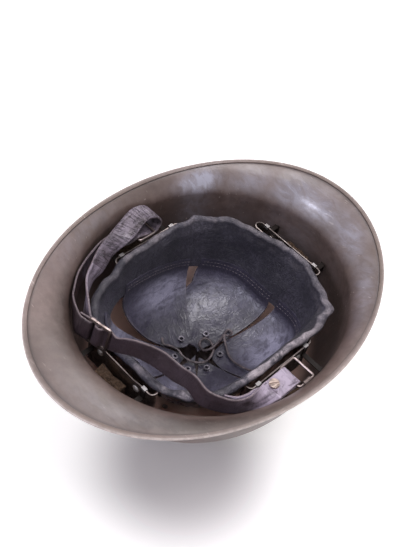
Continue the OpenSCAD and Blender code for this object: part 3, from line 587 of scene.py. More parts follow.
# steel shell: skull, flared brim and folded hem
shell = dict(
    width=220, frontReach=152, rearReach=144,
    creaseWidth=194, creaseFront=111.5, creaseRear=114.5,
    depth=112, fullness=2.2,
    frontRise=15, rearRise=27, sideRise=16.5, risePower=2.4,
    flareOut=1.35, flareUp=1.5,
    sheet=1.2, hemWidth=4, hem=0.8,
    ventSize=5, ventCount=7, ventPitch=12,
    around=288, skullRows=44, brimRows=16,
    dents=[(62, 1, 0.35), (24, 2, 0.105)],
    # glossy places on the brim, where a highlight is painted, then darker places: angle, width, place between crease
    # and edge, share
    polished=[
        (95, 14, 0.4, 1.2), (72, 13, 0.48, 1), (46, 18, 0.5, 0.6), (148, 7, 0.4, 2.4), (126, 9, 0.43, 0.7),
        (106, 9, 0.42, 1.3), (285, 20, 0.65, 0.25), (200, 18, 0.55, 0.35),
    ],
    # darker places; the wide one at angle 0 is a painted shade along the crease and down into the skull
    grimy=[
        (314, 27, 0.62, 1.6), (243, 20, 0.12, 1.5), (12, 14, 0.4, 0.2), (0, 2000, -0.05, 0.55),
        (170, 12, 0.6, 0.25),
    ],
    # the middle of the crown, where the crest sits, has no dents: height, then where dents begin and are full
    plain=(70, 34, 60),
    pole=0.999,
)


def byEnd(t, rear, front):
    return rear if sinD(t) >= 0 else front


def creaseAt(t):
    return shell["creaseWidth"] / 2 * cosD(t), byEnd(t, shell["creaseRear"], shell["creaseFront"]) * sinD(t)


def edgeAt(t):
    return shell["width"] / 2 * cosD(t), byEnd(t, shell["rearReach"], shell["frontReach"]) * sinD(t)


def riseAt(t):
    end = byEnd(t, shell["rearRise"], shell["frontRise"])
    return shell["sideRise"] + (end - shell["sideRise"]) * abs(sinD(t)) ** shell["risePower"]


def sheetAt(t, s):
    # s runs from -1 at the crown over 0 at the crease to 1 at the brim's edge
    x, y = creaseAt(t)
    if s < 0:
        power = 2 / shell["fullness"]
        f = max(0, cosD(-90 * s)) ** power
        return Vector((x * f, y * f, creaseZ - shell["depth"] * sinD(-90 * s) ** power))
    out = s ** shell["flareOut"]
    ex, ey = edgeAt(t)
    return Vector((mix(x, ex, out), mix(y, ey, out), creaseZ + riseAt(t) * (1 - (1 - s) ** shell["flareUp"])))


def sheetNormal(t, s):
    probe = 0.004
    along = sheetAt(t, min(1, s + probe)) - sheetAt(t, max(-shell["pole"], s - probe))
    return along.cross(sheetAt(t + 1, s) - sheetAt(t - 1, s)).normalized()


def dentAt(point):
    height, begin, full = shell["plain"]
    share = rise(begin, full, abs(point.x)) if point.z < height else 1
    return roughSum(point, shell["dents"]) * share


def offSheet(t, s, d):
    base = sheetAt(t, s)
    return base - sheetNormal(t, s) * (d + dentAt(base))


def shellProfile(t):
    # pairs of place on the sheet and depth into it, from the inner crown to the outer crown
    ex, ey = edgeAt(t)
    cx, cy = creaseAt(t)
    perStep = math.hypot(shell["flareOut"] * math.hypot(ex - cx, ey - cy), 0.5 * riseAt(t))
    hemStart = 1 - shell["hemWidth"] / perStep
    skull = [shell["pole"] * (i / shell["skullRows"] - 1) for i in range(shell["skullRows"])]
    brim = [i / shell["brimRows"] for i in range(shell["brimRows"] + 1)]
    hem, sheet = shell["hem"], shell["sheet"]
    middle, radius = (sheet - hem) / 2, (sheet + hem) / 2
    path = [(s, 0) for s in skull] + [(s * hemStart, 0) for s in brim[:-1]]
    path += [(hemStart - 0.5 / perStep, 0.02), (hemStart - 0.1 / perStep, 0.12), (hemStart, 0)]
    path += [(hemStart + 0.12 / perStep, -hem * 0.7), (hemStart + 0.4 / perStep, -hem)]
    path += [(mix(hemStart, 1, 0.4), -hem)]
    for turn in range(-90, 91, 30):
        path.append((1 - (1 - cosD(turn)) * radius / perStep, middle + radius * sinD(turn)))
    path += [(mix(hemStart, 1, 0.35), sheet)]
    return path + [(s * hemStart, sheet) for s in reversed(brim)] + [(s, sheet) for s in reversed(skull)]


def makeShell():
    columns = shell["around"]
    turns = [360 * i / columns for i in range(columns)]
    lines = [[(s, d, offSheet(t, s, d)) for s, d in shellProfile(t)] for t in turns]
    rows = len(lines[0]) + 1
    poles = Vector((0, 0, creaseZ - shell["depth"])), Vector((0, 0, creaseZ - shell["depth"] - shell["sheet"]))

    def spot(u, v):
        row = round(v * rows)
        if row == 0 or row == rows:
            return -1, (0, shell["sheet"])[row == rows], poles[row == rows]
        return lines[round(u * columns) % columns][row - 1]

    skullRows = shell["skullRows"]
    hemRow = skullRows + shell["brimRows"] + 3

    def brimSpots(u, v, kind):
        return (v * rows < hemRow) * max(
            share * nearTurn(360 * u, t, wide) * hump(high, 0.3, max(0, spot(u, v)[0]))
            for t, wide, high, share in shell[kind]
        )

    def inSkull(u, v, begin, full):
        return (v * rows < skullRows + 1) * rise(begin, full, spot(u, v)[0])

    marks = dict(
        # the inside of the skull, darkened partly as painted shade
        inner=lambda u, v: inSkull(u, v, -0.02, -0.14),
        # painted light deep in the skull
        deep=lambda u, v: inSkull(u, v, -0.3, -0.45) * inSkull(u, v, -0.86, -0.72),
        edge=lambda u, v: hump(hemRow + 6.5, 2.1, v * rows),
        groove=lambda u, v: hump(hemRow - 1.2, 1.1, v * rows),
        polished=lambda u, v: brimSpots(u, v, "polished"),
        grimy=lambda u, v: brimSpots(u, v, "grimy"),
    )
    piece = bentGrid("shellSteel", columns, rows, lambda u, v: inFrame(spot(u, v)[2]), marks)
    mend(piece, fill=False)
    for i in range(shell["ventCount"]):
        deselectAll()
        at = inFrame((0, (i - (shell["ventCount"] - 1) / 2) * shell["ventPitch"], creaseZ - shell["depth"]))
        bpy.ops.mesh.primitive_cylinder_add(
            vertices=24, radius=shell["ventSize"] / 2 * millimetre, depth=0.012, location=at
        )
        drill = bpy.context.object
        pick(piece)
        cut = piece.modifiers.new("vent", "BOOLEAN")
        cut.operation = "DIFFERENCE"
        cut.solver = "EXACT"
        cut.object = drill
        bpy.ops.object.modifier_apply(modifier=cut.name)
        bpy.data.objects.remove(drill)
    smooth(piece, 40)
    return dressed(piece, paint, replaces=("shell",))


shellSteel = makeShell()
print("shell done:", len(shellSteel.data.polygons), "faces")


# pressed crest along the crown
crest = dict(
    height=16.8, length=190, width=20, flange=6, sheet=0.8, gap=0.25, tabShare=0.9, roundFrom=0.955,
    profile=[(1, 0.02), (0.86, 0.14), (0.66, 0.5), (0.48, 0.8), (0.28, 0.96), (0, 1)],
    stations=120, across=6,
)


def skullOutZ(x, y, gap):
    over = shell["sheet"] + gap
    a = shell["creaseWidth"] / 2 + over
    b = (shell["creaseRear"] if y >= 0 else shell["creaseFront"]) + over
    f = math.hypot(x / a, y / b)
    n = shell["fullness"]
    return creaseZ - (shell["depth"] + over) * max(0, 1 - f ** n) ** (1 / n)


def crestFull(f):
    share = abs(f) / crest["tabShare"]
    return (1 - share ** 2.4) ** 0.7 if share < 1 else 0


def makeCrest():
    half = crest["profile"][0][0] * crest["width"] / 2

    def side(f):
        full = crestFull(f)
        grow = mix(0.45, 1, full)
        end = max(0, (abs(f) - crest["roundFrom"]) / (1 - crest["roundFrom"]))
        narrow = math.sqrt(max(0, 1 - end * end))
        points = [Vector(((half + crest["flange"]) * grow * narrow, crest["sheet"]))]
        for p in crest["profile"]:
            lift = max(crest["sheet"], p[1] * crest["height"] * full)
            points.append(Vector((p[0] * max(0.5, half * grow) * narrow, lift)))
        mirrored = points + [Vector((-p.x, p.y)) for p in reversed(points[:-1])]
        return catmull(mirrored, crest["across"])

    sections = {}

    def place(u, v):
        f = -1 + 2 * u
        f = math.copysign(1 - (1 - abs(f)) ** 1.25, f) if abs(f) > 0.5 else f
        if u not in sections:
            sections[u] = side(f)
        section = sections[u]
        x, lift = section[round(v * (len(section) - 1))]
        y = f * crest["length"] / 2
        slope = (skullOutZ(0, y + 1, 0) - skullOutZ(0, y - 1, 0)) / 2
        normal = Vector((0, slope, -1)).normalized()
        return inFrame(Vector((x, y, skullOutZ(x, y, crest["gap"]))) + normal * lift)

    rows = 12 * crest["across"]
    piece = bentGrid("crestSteel", crest["stations"], rows, place, dict(edge=lambda u, v: 0.25 * hump(0.5, 0.12, v)))
    mend(piece, fill=False)
    return piece


crestSteel = makeCrest()
thicken(crestSteel, crest["sheet"] * millimetre, -1)
smooth(crestSteel, 40)
dressed(crestSteel, paint, replaces=("crest",))
print("crest done:", len(crestSteel.data.polygons), "faces")


# headband with its rolled fold
band = dict(
    halfWidth=64.3, halfLength=82.4, square=3.4, rearSkew=0.6, leather=2.4,
    height=30, rearHang=17, frontCut=8, sideLean=3, endLean=8, roll=2.8, drop=8,
    around=540,
    # angle, width in degrees and outward pull of the puckers in the fold
    puckers=[
        (153, 3.5, -1.6), (146, 3, 1.2), (134, 3.5, -1.8), (127, 3, 1.5), (45, 3, 0.8), (38, 3, -1.4),
        (31, 3.5, 0.8), (-145, 4, -2), (-71, 3, 1), (-60, 3, -1.2), (20, 4, 0.8), (76, 5, 0.8), (103, 5, -0.8),
    ],
    # angle and outward shift of the fold
    shifts=[
        (-180, 2.6), (-160, 2), (-143, 0), (-120, 0), (-90, 1), (-73, 2), (-40, 2.6), (10, 2.4), (22, 3.6), (30, 5),
        (37, 5.2), (44, 4.1), (52, -1.9), (60, -3.9), (68, -2.4), (76, 0.1), (84, 0.6), (92, -0.9), (100, -3.4),
        (108, -5.9), (116, -4.9), (124, -0.4), (132, 2.6), (140, 3.6), (148, 4.4), (156, 4.1), (164, 3.1), (180, 2.6),
    ],
    # angle, width and fall of the sags in the fold
    dips=[(-143, 6, 2), (-114, 26, 10), (150, 4, 1.2), (130, 4, 1.5), (-66, 9, 2)],
    wallRows=18,
    wallPush=0.3,
    mean=80,
    # size, seed and height of the folds that swell the roll, push it out and lift it, and of the fine ones
    swell=[(13, 3, 0.34), (4, 4, 0.1)],
    outward=[(22, 5, 1.1), (7, 6, 0.6)],
    upward=[(15, 7, 1.5), (5, 8, 0.45)],
    fine=[(5.5, 9, 1.3)],
    # angle and width of the part with fine folds, of the parts where the fold is rubbed and lit with a painted
    # highlight, and of the part left without either
    fineAt=(138, 17),
    rubbedAt=[(-2, 40), (-58, 17)],
    wallRubbedAndLitAt=(75, 60),
    unrubbedAt=(-113, 27),
)
bandTop = creaseZ - band["drop"]
rollMiddle = 0.6, bandTop + 0.4 + band["roll"]


def bandRadius(a, halfWidth, halfLength, square):
    if sinD(a) > 0:
        square = square + band["rearSkew"] * (square - 2) * sinD(2 * a)
    return ((abs(cosD(a)) / halfWidth) ** square + (abs(sinD(a)) / halfLength) ** square) ** (-1 / square)


def bandDrop(a):
    return band["height"] + (band["rearHang"] if sinD(a) > 0 else band["frontCut"]) * sinD(a)


def bandBottom(a):
    return bandTop - bandDrop(a)


def bandLean(a, z):
    lean = band["sideLean"] + band["endLean"] * abs(sinD(a)) ** 3
    return lean * max(0, bandTop - z) / bandDrop(a)


def bandPoint(a, out, z, push):
    out -= bandLean(a, z)
    radius = bandRadius(a, band["halfWidth"] + out, band["halfLength"] + out, band["square"]) + push
    return around(radius, a, z)


def foldShift(a):
    table = band["shifts"]
    a = (a + 180) % 360 - 180
    for (low, before), (high, after) in zip(table, table[1:]):
        if low <= a <= high:
            return mix(before, after, rise(low, high, a))
    return table[0][1]


def makeBand():
    wall, thick = band["wallRows"], band["leather"]

    def section(a):
        low = bandBottom(a)
        radius = band["roll"] * (1 + roughSum(around(band["mean"], a), band["swell"]))
        points = [(0, mix(low, bandTop + 0.6, i / wall), 0) for i in range(wall)]
        for turn in range(-60, 183, 11):
            points.append((rollMiddle[0] + radius * cosD(turn), rollMiddle[1] + radius * sinD(turn), 1))
        points += [(-thick, mix(bandTop - 1, low, i / wall), 0) for i in range(wall + 1)]
        points += [(-thick * 0.75, low - 0.35, 0), (-thick * 0.25, low - 0.35, 0)]
        return points

    rings = {}

    def spot(u, v):
        if u not in rings:
            rings[u] = section(360 * u)
        return rings[u][round(v * len(rings[u])) % len(rings[u])]

    def place(u, v):
        a = 360 * (u % 1)
        out, z, _ = spot(u % 1, v)
        high = rise(bandTop - 26, bandTop + 3, z)
        flow = around(band["mean"], a, z * 0.45)
        push = sum(pull * nearTurn(a, at, width) for at, width, pull in band["puckers"])
        push += foldShift(a) + roughSum(flow, band["outward"])
        push += roughSum((flow.x, flow.y, 0), band["fine"]) * nearTurn(a, *band["fineAt"])
        push *= high
        inWall = z < bandTop + 0.3
        point = bandPoint(a, out, z, min(push, band["wallPush"]) if inWall else push)
        point.z += high * roughSum(flow, band["upward"])
        if not inWall:
            point.z += high * 0.25 * max(0, foldShift(a) - 2)
        point.z -= high * sum(fall * nearTurn(a, at, width) for at, width, fall in band["dips"])
        return inFrame(point)

    # lighter top of the roll: partly real rubbing of the leather, partly a painted highlight, its strength set by
    # angle
    def rub(u, v):
        a = 360 * (u % 1)
        fold = spot(u % 1, v)
        top = fold[2] * rise(rollMiddle[1] - 0.3, rollMiddle[1] + 2.5, fold[1])
        if fold[0] == -band["leather"]:
            top = 0.34 * rise(bandTop - 7, bandTop - 1, fold[1]) * nearTurn(a, *band["wallRubbedAndLitAt"])
        near = mix(0.32, 1, max(nearTurn(a, *where) for where in band["rubbedAt"]))
        return top * near * (1 - nearTurn(a, *band["unrubbedAt"]))

    count = len(section(0))
    piece = bentGrid("headbandLeather", band["around"], count, place, dict(rub=rub))
    mend(piece, fill=False)
    return piece


headbandLeather = makeBand()
smooth(headbandLeather, 60)
dressed(headbandLeather, bandLeather, replaces=("headband",))
print("headband done:", len(headbandLeather.data.polygons), "faces")


# six tongues laced together at their tips
tongue = dict(
    leather=1.6, lap=9, bowlDepth=80, tipTurn=82, lapShare=1 / 9, tipStart=0.82, slitGap=1.2, seat=0.375,
    # angle at the headband, angle at the tip, half width at the headband
    slits=[
        (221, 224, 11), (141.5, 150, 3.5), (79, 76, 2), (0.5, 10, 2), (-45, -45, 1.2), (-88, -88, 1.2),
        (-139, -136, 11),
    ],
    names=["rear_left", "rear", "right", "front_right", "front", "front_left"],
    rows=100, columns=84, reaches=[1.0, 1.075, 0.98, 1.05, 1.075, 1.0],
    # polished part of each tongue, with a painted sheen: share, middle and width across, middle and width along
    polish=[
        (1.5, 0.36, 0.36, 0.38, 0.19), (0.58, 0.68, 0.42, 0.5, 0.26), (1.25, 0.55, 0.36, 0.5, 0.26),
        (0.15, 0.5, 0.4, 0.5, 0.3), (1.2, 0.5, 0.4, 0.4, 0.3), (2, 0.5, 0.8, 0.24, 0.3),
    ],
    # the one tongue that laps over its neighbour near the lace, by how much, and the lift of its side
    lapping=1, lappedBy=7.5, lift=2.4,
)
tongueHalfWidth = band["halfWidth"] - band["leather"] - tongue["seat"]
tongueHalfLength = band["halfLength"] - band["leather"] - tongue["seat"]


def tongueAt(a, f, d):
    share = tongue["lapShare"]
    turn = 0 if f < share else tongue["tipTurn"] * (f - share) / (1 - share)
    lap = tongue["lap"] * (1 - f / share) if f < share else 0
    start = bandBottom(a) + lap
    inset = d + bandLean(a, start)
    square = mix(band["square"], 2, turn / 90)
    radius = bandRadius(a, tongueHalfWidth - inset, tongueHalfLength - inset, square) * cosD(turn) ** 0.9
    fall = bandBottom(a) - creaseZ + tongue["bowlDepth"] - d
    return around(radius, a, start - fall * sinD(turn))


def slitSide(i, f, side):
    atBand, atTip, half = tongue["slits"][i]
    return mix(atBand, atTip, f) + side * (tongue["slitGap"] + half * max(0, 1 - f) ** 1.6)


def fillAt(i, f):
    g = (f - tongue["tipStart"]) / (tongue["reaches"][i] - tongue["tipStart"])
    return 1 if g < 0 else max(0, 1 - g * g) ** 0.4 + 0.02


def makeTongue(i):
    def spot(u, f):
        low, high = slitSide(i + 1, f, 1), slitSide(i, f, -1)
        over = rise(0.36, 0.55, f) * (1 - rise(0.97, 1.07, f)) * (i == tongue["lapping"])
        if over:
            high += over * math.degrees(tongue["lappedBy"] / max(14, tongueAt(high, f, 0).xy.length))
        middle, half = (low + high) / 2, (high - low) / 2
        a = middle + half * fillAt(i, f) * (2 * u - 1)
        return a, over * tongue["lift"] * rise(0.55, 0.95, u)

    def place(u, v):
        f = v * tongue["reaches"][i]
        a, lift = spot(u, f)
        base = tongueAt(a, f, 0)
        loose = rise(0.12, 0.5, f)
        ripple = rough(base, 26, 10 + i) * 1.1 * loose + rough(base, 8, 20 + i) * 0.34 * rise(0.1, 0.3, f)
        ripple += math.sin(base.z * 0.7 + 5 * rough(base, 15, 30 + i)) * 0.06 * rise(0.55, 0.9, f)
        return inFrame(tongueAt(a, f, -lift - max(-0.3, ripple) * (1 - rise(0.85, 0.98, f))))

    def shade(u, v):
        return max(hump(0.1, 0.07, v) * 0.8, rise(0.62, 0.95, v) * 0.55)

    # painted sheen on the polished middle of each tongue, which is also less rough
    def polish(u, v):
        share, across, wide, along, long = tongue["polish"][i]
        return share * hump(across, wide, u) * hump(along, long, v) * rise(0.11, 0.17, v)

    def rub(u, v):
        side = max(hump(0, 0.012, u), hump(1, 0.012, u)) * (v > 0.12)
        return 0.5 * max(side, hump(1, 0.01, v))

    name = "tongue" + "".join(word.capitalize() for word in tongue["names"][i].split("_"))
    piece = bentGrid(name, tongue["columns"], tongue["rows"], place, dict(shade=shade, rub=rub, polish=polish))
    mend(piece, fill=False)
    # the wall grows away from the wearer's head
    middle = piece.data.polygons[len(piece.data.polygons) // 3]
    outward = Vector((middle.center.x, middle.center.y, -0.04)).dot(middle.normal) > 0
    thicken(piece, tongue["leather"] * millimetre, 1 if outward else -1, 0.0003)
    smooth(piece, 50)
    return dressed(piece, tongueLeather, replaces=("tongue_" + tongue["names"][i],))


for index in range(6):
    made = makeTongue(index)
print("tongues done:", len(made.data.polygons), "faces each")


# double rows of stitches that hold the tongues to the headband
stitches = dict(pitch=2.9, length=2.0, thick=0.42, rows=(2.4, 5.6))
threadValues = dict(
    dark=(0.07, 0.06, 0.075),
    light=(0.24, 0.2, 0.22),
    shader=dict(Base_Color=(0.19, 0.165, 0.19), Roughness=0.55),
    patches=dict(clouds=((300, 4), (0.35, 0.65)), fine=((2600, 2),)),
    layers=(("light", "clouds"),),
    relief=((0.0001, "fine"),),
)


def makeStitches():
    deselectAll()
    bpy.ops.mesh.primitive_uv_sphere_add(segments=8, ring_count=6, radius=0.5)
    seed = bpy.context.object
    shape = seed.data.copy()
    gathered = bmesh.new()
    for i in range(6):
        low, high = slitSide(i + 1, 0, 1) + 1, slitSide(i, 0, -1) - 1
        for height in stitches["rows"]:
            f = tongue["lapShare"] * (1 - height / tongue["lap"])
            a = low
            while a < high:
                here = tongueAt(a, f, 0)
                turn = math.degrees(stitches["pitch"] / here.xy.length)
                ahead = (tongueAt(a + turn / 2, f, 0) - here).normalized()
                inward = Vector((-here.x, -here.y, 0)).normalized()
                up = ahead.cross(inward)
                jitter = 1 + 0.12 * (chance.random() - 0.5)
                axes = Matrix((
                    ahead * stitches["length"] * jitter, inward * stitches["thick"] * 1.2, up * stitches["thick"]
                )).transposed().to_4x4()
                middle = here + inward * 0.05 + up * 0.15 * (chance.random() - 0.5)
                stitch = shape.copy()
                stitch.transform(Matrix.Translation(inFrame(middle)) @ Matrix.Scale(millimetre, 4) @ axes)
                gathered.from_mesh(stitch)
                bpy.data.meshes.remove(stitch)
                a += turn
    gathered.to_mesh(seed.data)
    gathered.free()
    bpy.data.meshes.remove(shape)
    seed.name = seed.data.name = "tongueStitches"
    mend(seed, fill=False)
    smooth(seed)
    return dressed(seed, makeFinish("waxedThread", threadValues))


makeStitches()
print("stitches done")


# chinstrap, cut into lengths where it passes from one moving piece to the next
strap = dict(
    width=16, leather=1.8, steps=12, cup=0.25, waver=[(11, 40, 0.22)], wrinkles=[(2.6, 42, 0.16)],
    sections=[  # share of the strap's width, share of its thickness, on the cut edge
        *[(x / 8, 1, 0) for x in range(-7, 8)],
        (0.96, 0.86, 0.5), (1, 0.55, 1), (1, 0, 0.8), (1, -0.55, 0.3), (0.96, -0.86, 0),
        *[(x / 8, -1, 0) for x in range(7, -8, -1)],
        (-0.96, -0.86, 0), (-1, -0.55, 0.3), (-1, 0, 0.8), (-1, 0.55, 1), (-0.96, 0.86, 0.5),
    ],
)
ring = dict(wire=2.2, across=17.4, along=13.8, hinge=94.4, y=2, eyeGap=0.2, lug=0.8)
buckle = dict(middle=(-22.5, -92.5, 2), turn=12, lean=75, pitch=8.6, bar=1.8, plate=1.6)

ringZ = -band["drop"] + ring["wire"] / 2 + 0.9
ringInnerX = ring["hinge"] - ring["across"] - ring["wire"]
eyeRadius = ring["wire"] / 2 + ring["eyeGap"] + ring["lug"]
strapX = (ringInnerX + ring["wire"] / 2 + ring["hinge"] - eyeRadius) / 2
barY = ring["y"] - ring["along"] / 2 - ring["wire"] / 2
onBar = ring["wire"] / 2 + 0.3 + strap["leather"] / 2
topPly = ringZ + onBar - 0.1
ply = strap["leather"] + 0.4
onPlate = buckle["plate"] / 2 + 0.3 + strap["leather"] / 2
besideBar = buckle["bar"] / 2 + 0.2 + strap["leather"] / 2


def acrossRing(y, z, mirrored=False):
    middle = -strapX if mirrored else strapX
    return (middle - strap["width"] / 2, y, z), (middle + strap["width"] / 2, y, z)


def inBuckle(run, wide, face):
    turn, lean = buckle["turn"], buckle["lean"]
    e = (
        Vector((cosD(turn), sinD(turn), 0)),
        Vector((-sinD(turn) * cosD(lean), cosD(turn) * cosD(lean), sinD(lean))),
        Vector((sinD(turn) * sinD(lean), -cosD(turn) * sinD(lean), cosD(lean))),
    )
    return Vector(buckle["middle"]) + e[0] * run + e[1] * wide + e[2] * face


def bucklePair(run, face):
    return inBuckle(run, strap["width"] / 2, face), inBuckle(run, -strap["width"] / 2, face)


# pairs of edge points, heights above the crease, as in the part's source
pitch = buckle["pitch"]
strapRuns = dict(
    tail=[
        ((70, -62, 11.3), (70, -63.5, -4.7)), ((75.4, -54.4, 7.9), (76.9, -54, -8.1)),
        ((77.1, -45, 4.1), (79.6, -46, -11.4)), ((76.2, -36, -0.4), (85.4, -36, -13)),
    ],
    underScrew=[acrossRing(y, topPly - ply) for y in (-26, -23.2, -18, -14)],
    fold=[acrossRing(barY + 3 * cosD(a), ringZ + onBar * sinD(a)) for a in range(-90, 91, 30)],
    overScrew=[acrossRing(y, topPly) for y in (-13, -18, -23.2, -26)],
    front=[
        ((78, -36, 1), (87, -36, -11.5)), ((79.5, -45, 4.5), (82, -46, -11)),
        ((77.5, -55.5, 8), (79, -55, -8)), ((71, -64, 11.5), (71, -65.5, -4.5)),
        ((61, -69, 13), (59.5, -73, -2.5)), ((49, -69, 15.5), (47.5, -73, 0.6)),
        ((36, -67.5, 9), (34, -72.5, -6)), ((19, -70, 10), (18.5, -75.5, -5)),
        ((6, -80.5, 16), (7, -83, 0.6)), ((-2.5, -84.5, 13.5), (-2, -87.4, -1.5)),
        ((-9, -87, 9.5), (-10, -89, -6.3)),
    ],
    weave=[bucklePair(*p) for p in (
        (pitch, -onPlate - 0.1), (pitch / 2 + 0.3, -1.5), (pitch / 2 - 1.1, 0), (1.9, onPlate - 0.3),
        (0, onPlate + 0.2), (-1.9, onPlate - 0.3), (1.1 - pitch / 2, 0), (-pitch / 2 - 0.3, -2.3),
        (-pitch + 2, -3.9), (-pitch, -4),
    )],
    inner=[
        ((-34.5, -89, 9), (-35, -91.5, -6.3)), ((-46, -81.5, 8.5), (-47, -84, -7)),
        ((-62.5, -70, 7.5), (-64, -63.5, -6)), ((-72, -57, 6.5), (-69, -48, -6.5)),
        ((-80.5, -43, 6.5), (-75, -32, -4)), ((-88.5, -22, 7), (-74, -15, 4)),
        ((-95, 0, 8), (-79.5, 3, 7)),
    ],
    ringTurn=[
        ((-94, 12, 6.5), (-78, 13, 6)), ((-92.4, 17, 0), (-76.4, 18, -0.8)),
        ((-92.1, 14.5, -7), (-76.1, 15, -7.4)), acrossRing(9.5, -9, True), acrossRing(2, -6, True),
        acrossRing(-6, -3.2, True),
    ],
    outer=[
        ((-93, -14, -4.5), (-78.5, -13, -8.5)), ((-88.5, -36, -0.5), (-86, -34, -15.8)),
        ((-77.5, -63, 0.5), (-76, -62, -15)), ((-65, -79, 1.5), (-64, -78, -14.3)),
        ((-57, -86, 2.5), (-56.5, -85.5, -13.3)),
    ],
    endFold=[bucklePair(*p) for p in (
        (-18, 0.6), (-12, 1.9), (-pitch, besideBar + 0.05), (-pitch + 1.65, 1.55), (-pitch + besideBar, 0),
        (-pitch + 1.65, -1.55), (-pitch, -besideBar - 0.05), (-12, -1.9), (-18, -1.6),
    )],
)
strapPairs, runStart = [], {}
for runName, pairs in strapRuns.items():
    runStart[runName] = len(strapPairs)
    strapPairs += pairs
edgeA = catmull([Vector(p[0]) for p in strapPairs], strap["steps"])
edgeB = catmull([Vector(p[1]) for p in strapPairs], strap["steps"])
strapMiddle = [(a + b) / 2 for a, b in zip(edgeA, edgeB)]
strapTravel = [0]
for before, after in zip(strapMiddle, strapMiddle[1:]):
    strapTravel.append(strapTravel[-1] + (after - before).length)


def strapRow(i):
    w = (edgeB[i] - edgeA[i]).normalized()
    return w, direction(strapMiddle, i).cross(w).normalized(), (edgeB[i] - edgeA[i]).length / 2


def makeStrap(name, first, last, worn, creased):
    # first and last count pairs along the whole strap
    start, end = first * strap["steps"], last * strap["steps"]
    count = len(strap["sections"])

    def spot(u, v):
        return start + round(u * (end - start)), strap["sections"][round(v * count) % count]

    def place(u, v):
        i, (wide, thick, _) = spot(u, v)
        w, normal, half = strapRow(i)
        travel = strapTravel[i]
        half += roughSum((travel, 0, 0), strap["waver"])
        cup = strap["cup"] * (wide * wide - 0.4) * (1 + rough((travel, 5, 0), 30, 41))
        wrinkle = roughSum((travel, wide * 6, 0), strap["wrinkles"])
        raised = thick * strap["leather"] / 2 + (cup + wrinkle) * creased
        return underCrease(*(strapMiddle[i] + w * wide * half + normal * raised))

    length = (strapTravel[end] - strapTravel[start]) * millimetre
    marks = dict(
        cut=lambda u, v: spot(u, v)[1][2],
        worn=lambda u, v: mix(worn[0], worn[1], rise(worn[2], worn[2] + 0.25, u)),
        creased=lambda u, v: creased,
    )
    girth = 2 * (strap["width"] + strap["leather"]) * millimetre
    piece = bentGrid(name, end - start, count, place, marks, (length, girth))
    mend(piece)
    smooth(piece, 45)
    return dressed(piece, strapLeather, body=None, replaces=("chinstrap",))


front, inner, outer = runStart["front"], runStart["inner"], runStart["outer"]
# the pairs where each length starts and ends, its wear and painted sheen at the two ends and where that changes, a
# low value leaving it dark as painted shade, and its creasing
strapLengths = dict(
    strapRightEnd=(0, front + 4, (1.5, 0.15, 0.74), 0.35),
    strapFront=(front + 4, inner - 1, (0.1, 0.12, 0.5), 0.2),
    strapInnerStrand=(inner - 1, inner + 3, (0.5, 0.95, 0.22), 0.5),
    strapRingLoop=(inner + 3, outer + 2, (0.68, 0.5, 0.7), 1.0),
    strapOuterStrand=(outer + 2, len(strapPairs) - 1, (0, 0, 0.5), 0.5),
)
strapBlends = dict(
    strapRightEnd=("root", "ring_right", (0.08, -0.062, 0.13), (0.083, -0.034, 0.124)),
    strapFront=("root", "buckle", (0.04, -0.066, 0.14), (-0.004, -0.0754, 0.135)),
    strapInnerStrand=("buckle", "root", (-0.036, -0.085, 0.13), (-0.062, -0.068, 0.13)),
    # bodies and blend places for the ring loop, which nothing below reads; the loop above stays clear of the shell
    strapRingLoop=("root", "ring_left", (-0.086, 0, 0.12548), (-0.086, 0.00287, 0.11751)),
    strapOuterStrand=("buckle", "root", (-0.042, -0.088, 0.13), (-0.066, -0.07, 0.13)),
)
for pieceName, (bodyA, bodyB, blendStart, blendEnd) in strapBlends.items():
    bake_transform(makeStrap(pieceName, *strapLengths[pieceName]))
print("chinstrap done, length", round(strapTravel[-1]), "mm")


# stuffed felt wads
pads = dict(
    voxel=0.0016, shrink=0.0012, pressure=3.0, frames=12, cap=0.0018, tuft=0.0018,
    tufts=[(3.5, 50, 1), (9, 51, 1.4)],
    # how far the tops of the wads hidden under the fold have sunk
    sunk=dict(pad_rear=0.006, pad_right=0.004, pad_left=0.004, pad_front=0),
)


def makePad(nodeName):
    pad = copyOf(nodeName, "felt" + nodeName.split("_")[1].capitalize())
    middle = sum((v.co for v in pad.data.vertices), Vector()) / len(pad.data.vertices)
    for v in pad.data.vertices:
        away = v.co - middle
        v.co -= away.normalized() * min(pads["shrink"], away.length)
    remesh = pad.modifiers.new("remesh", "REMESH")
    remesh.mode = "VOXEL"
    remesh.voxel_size = pads["voxel"]
    applyModifiers(pad)
    top = max(v.co.z for v in pad.data.vertices)
    for v in pad.data.vertices:
        v.co.z -= pads["sunk"][nodeName] * max(0, v.co.z - middle.z) / (top - middle.z)
    rest = [v.co.copy() for v in pad.data.vertices]
    cloth = pad.modifiers.new("cloth", "CLOTH")
    cloth.settings.use_pressure = True
    cloth.settings.uniform_pressure_force = pads["pressure"]
    cloth.settings.effector_weights.gravity = 0
    cloth.settings.quality = 5
    for step in range(1, pads["frames"] + 1):
        scene.frame_set(step)
    applyModifiers(pad)
    scene.frame_set(1)
    for v, start in zip(pad.data.vertices, rest):
        move = v.co - start
        if move.length > pads["cap"]:
            move = move.normalized() * pads["cap"]
        spot = start / millimetre
        tuft = pads["tuft"] * (roughSum(spot, pads["tufts"]) - 0.6)
        v.co = start + move + (start - middle).normalized() * tuft
    division = pad.modifiers.new("division", "SUBSURF")
    division.levels = division.render_levels = 1
    applyModifiers(pad)
    smooth(pad)
    dressed(pad, felt, replaces=(nodeName,))
    return pad


for padName in ("pad_rear", "pad_front", "pad_right", "pad_left"):
    makePad(padName)
print("felt wads done")


# front spacer, its top edge worn down where the slide buckle passes over it
frontSpacer = dict(
    cuts=(-22, -19, -16, 16, 19, 22),
    # half width of the worn part, half width up to the clips, depth of the wear and thickness of the edge
    flat=16, clip=22, wear=1.8, edge=0.6,
)


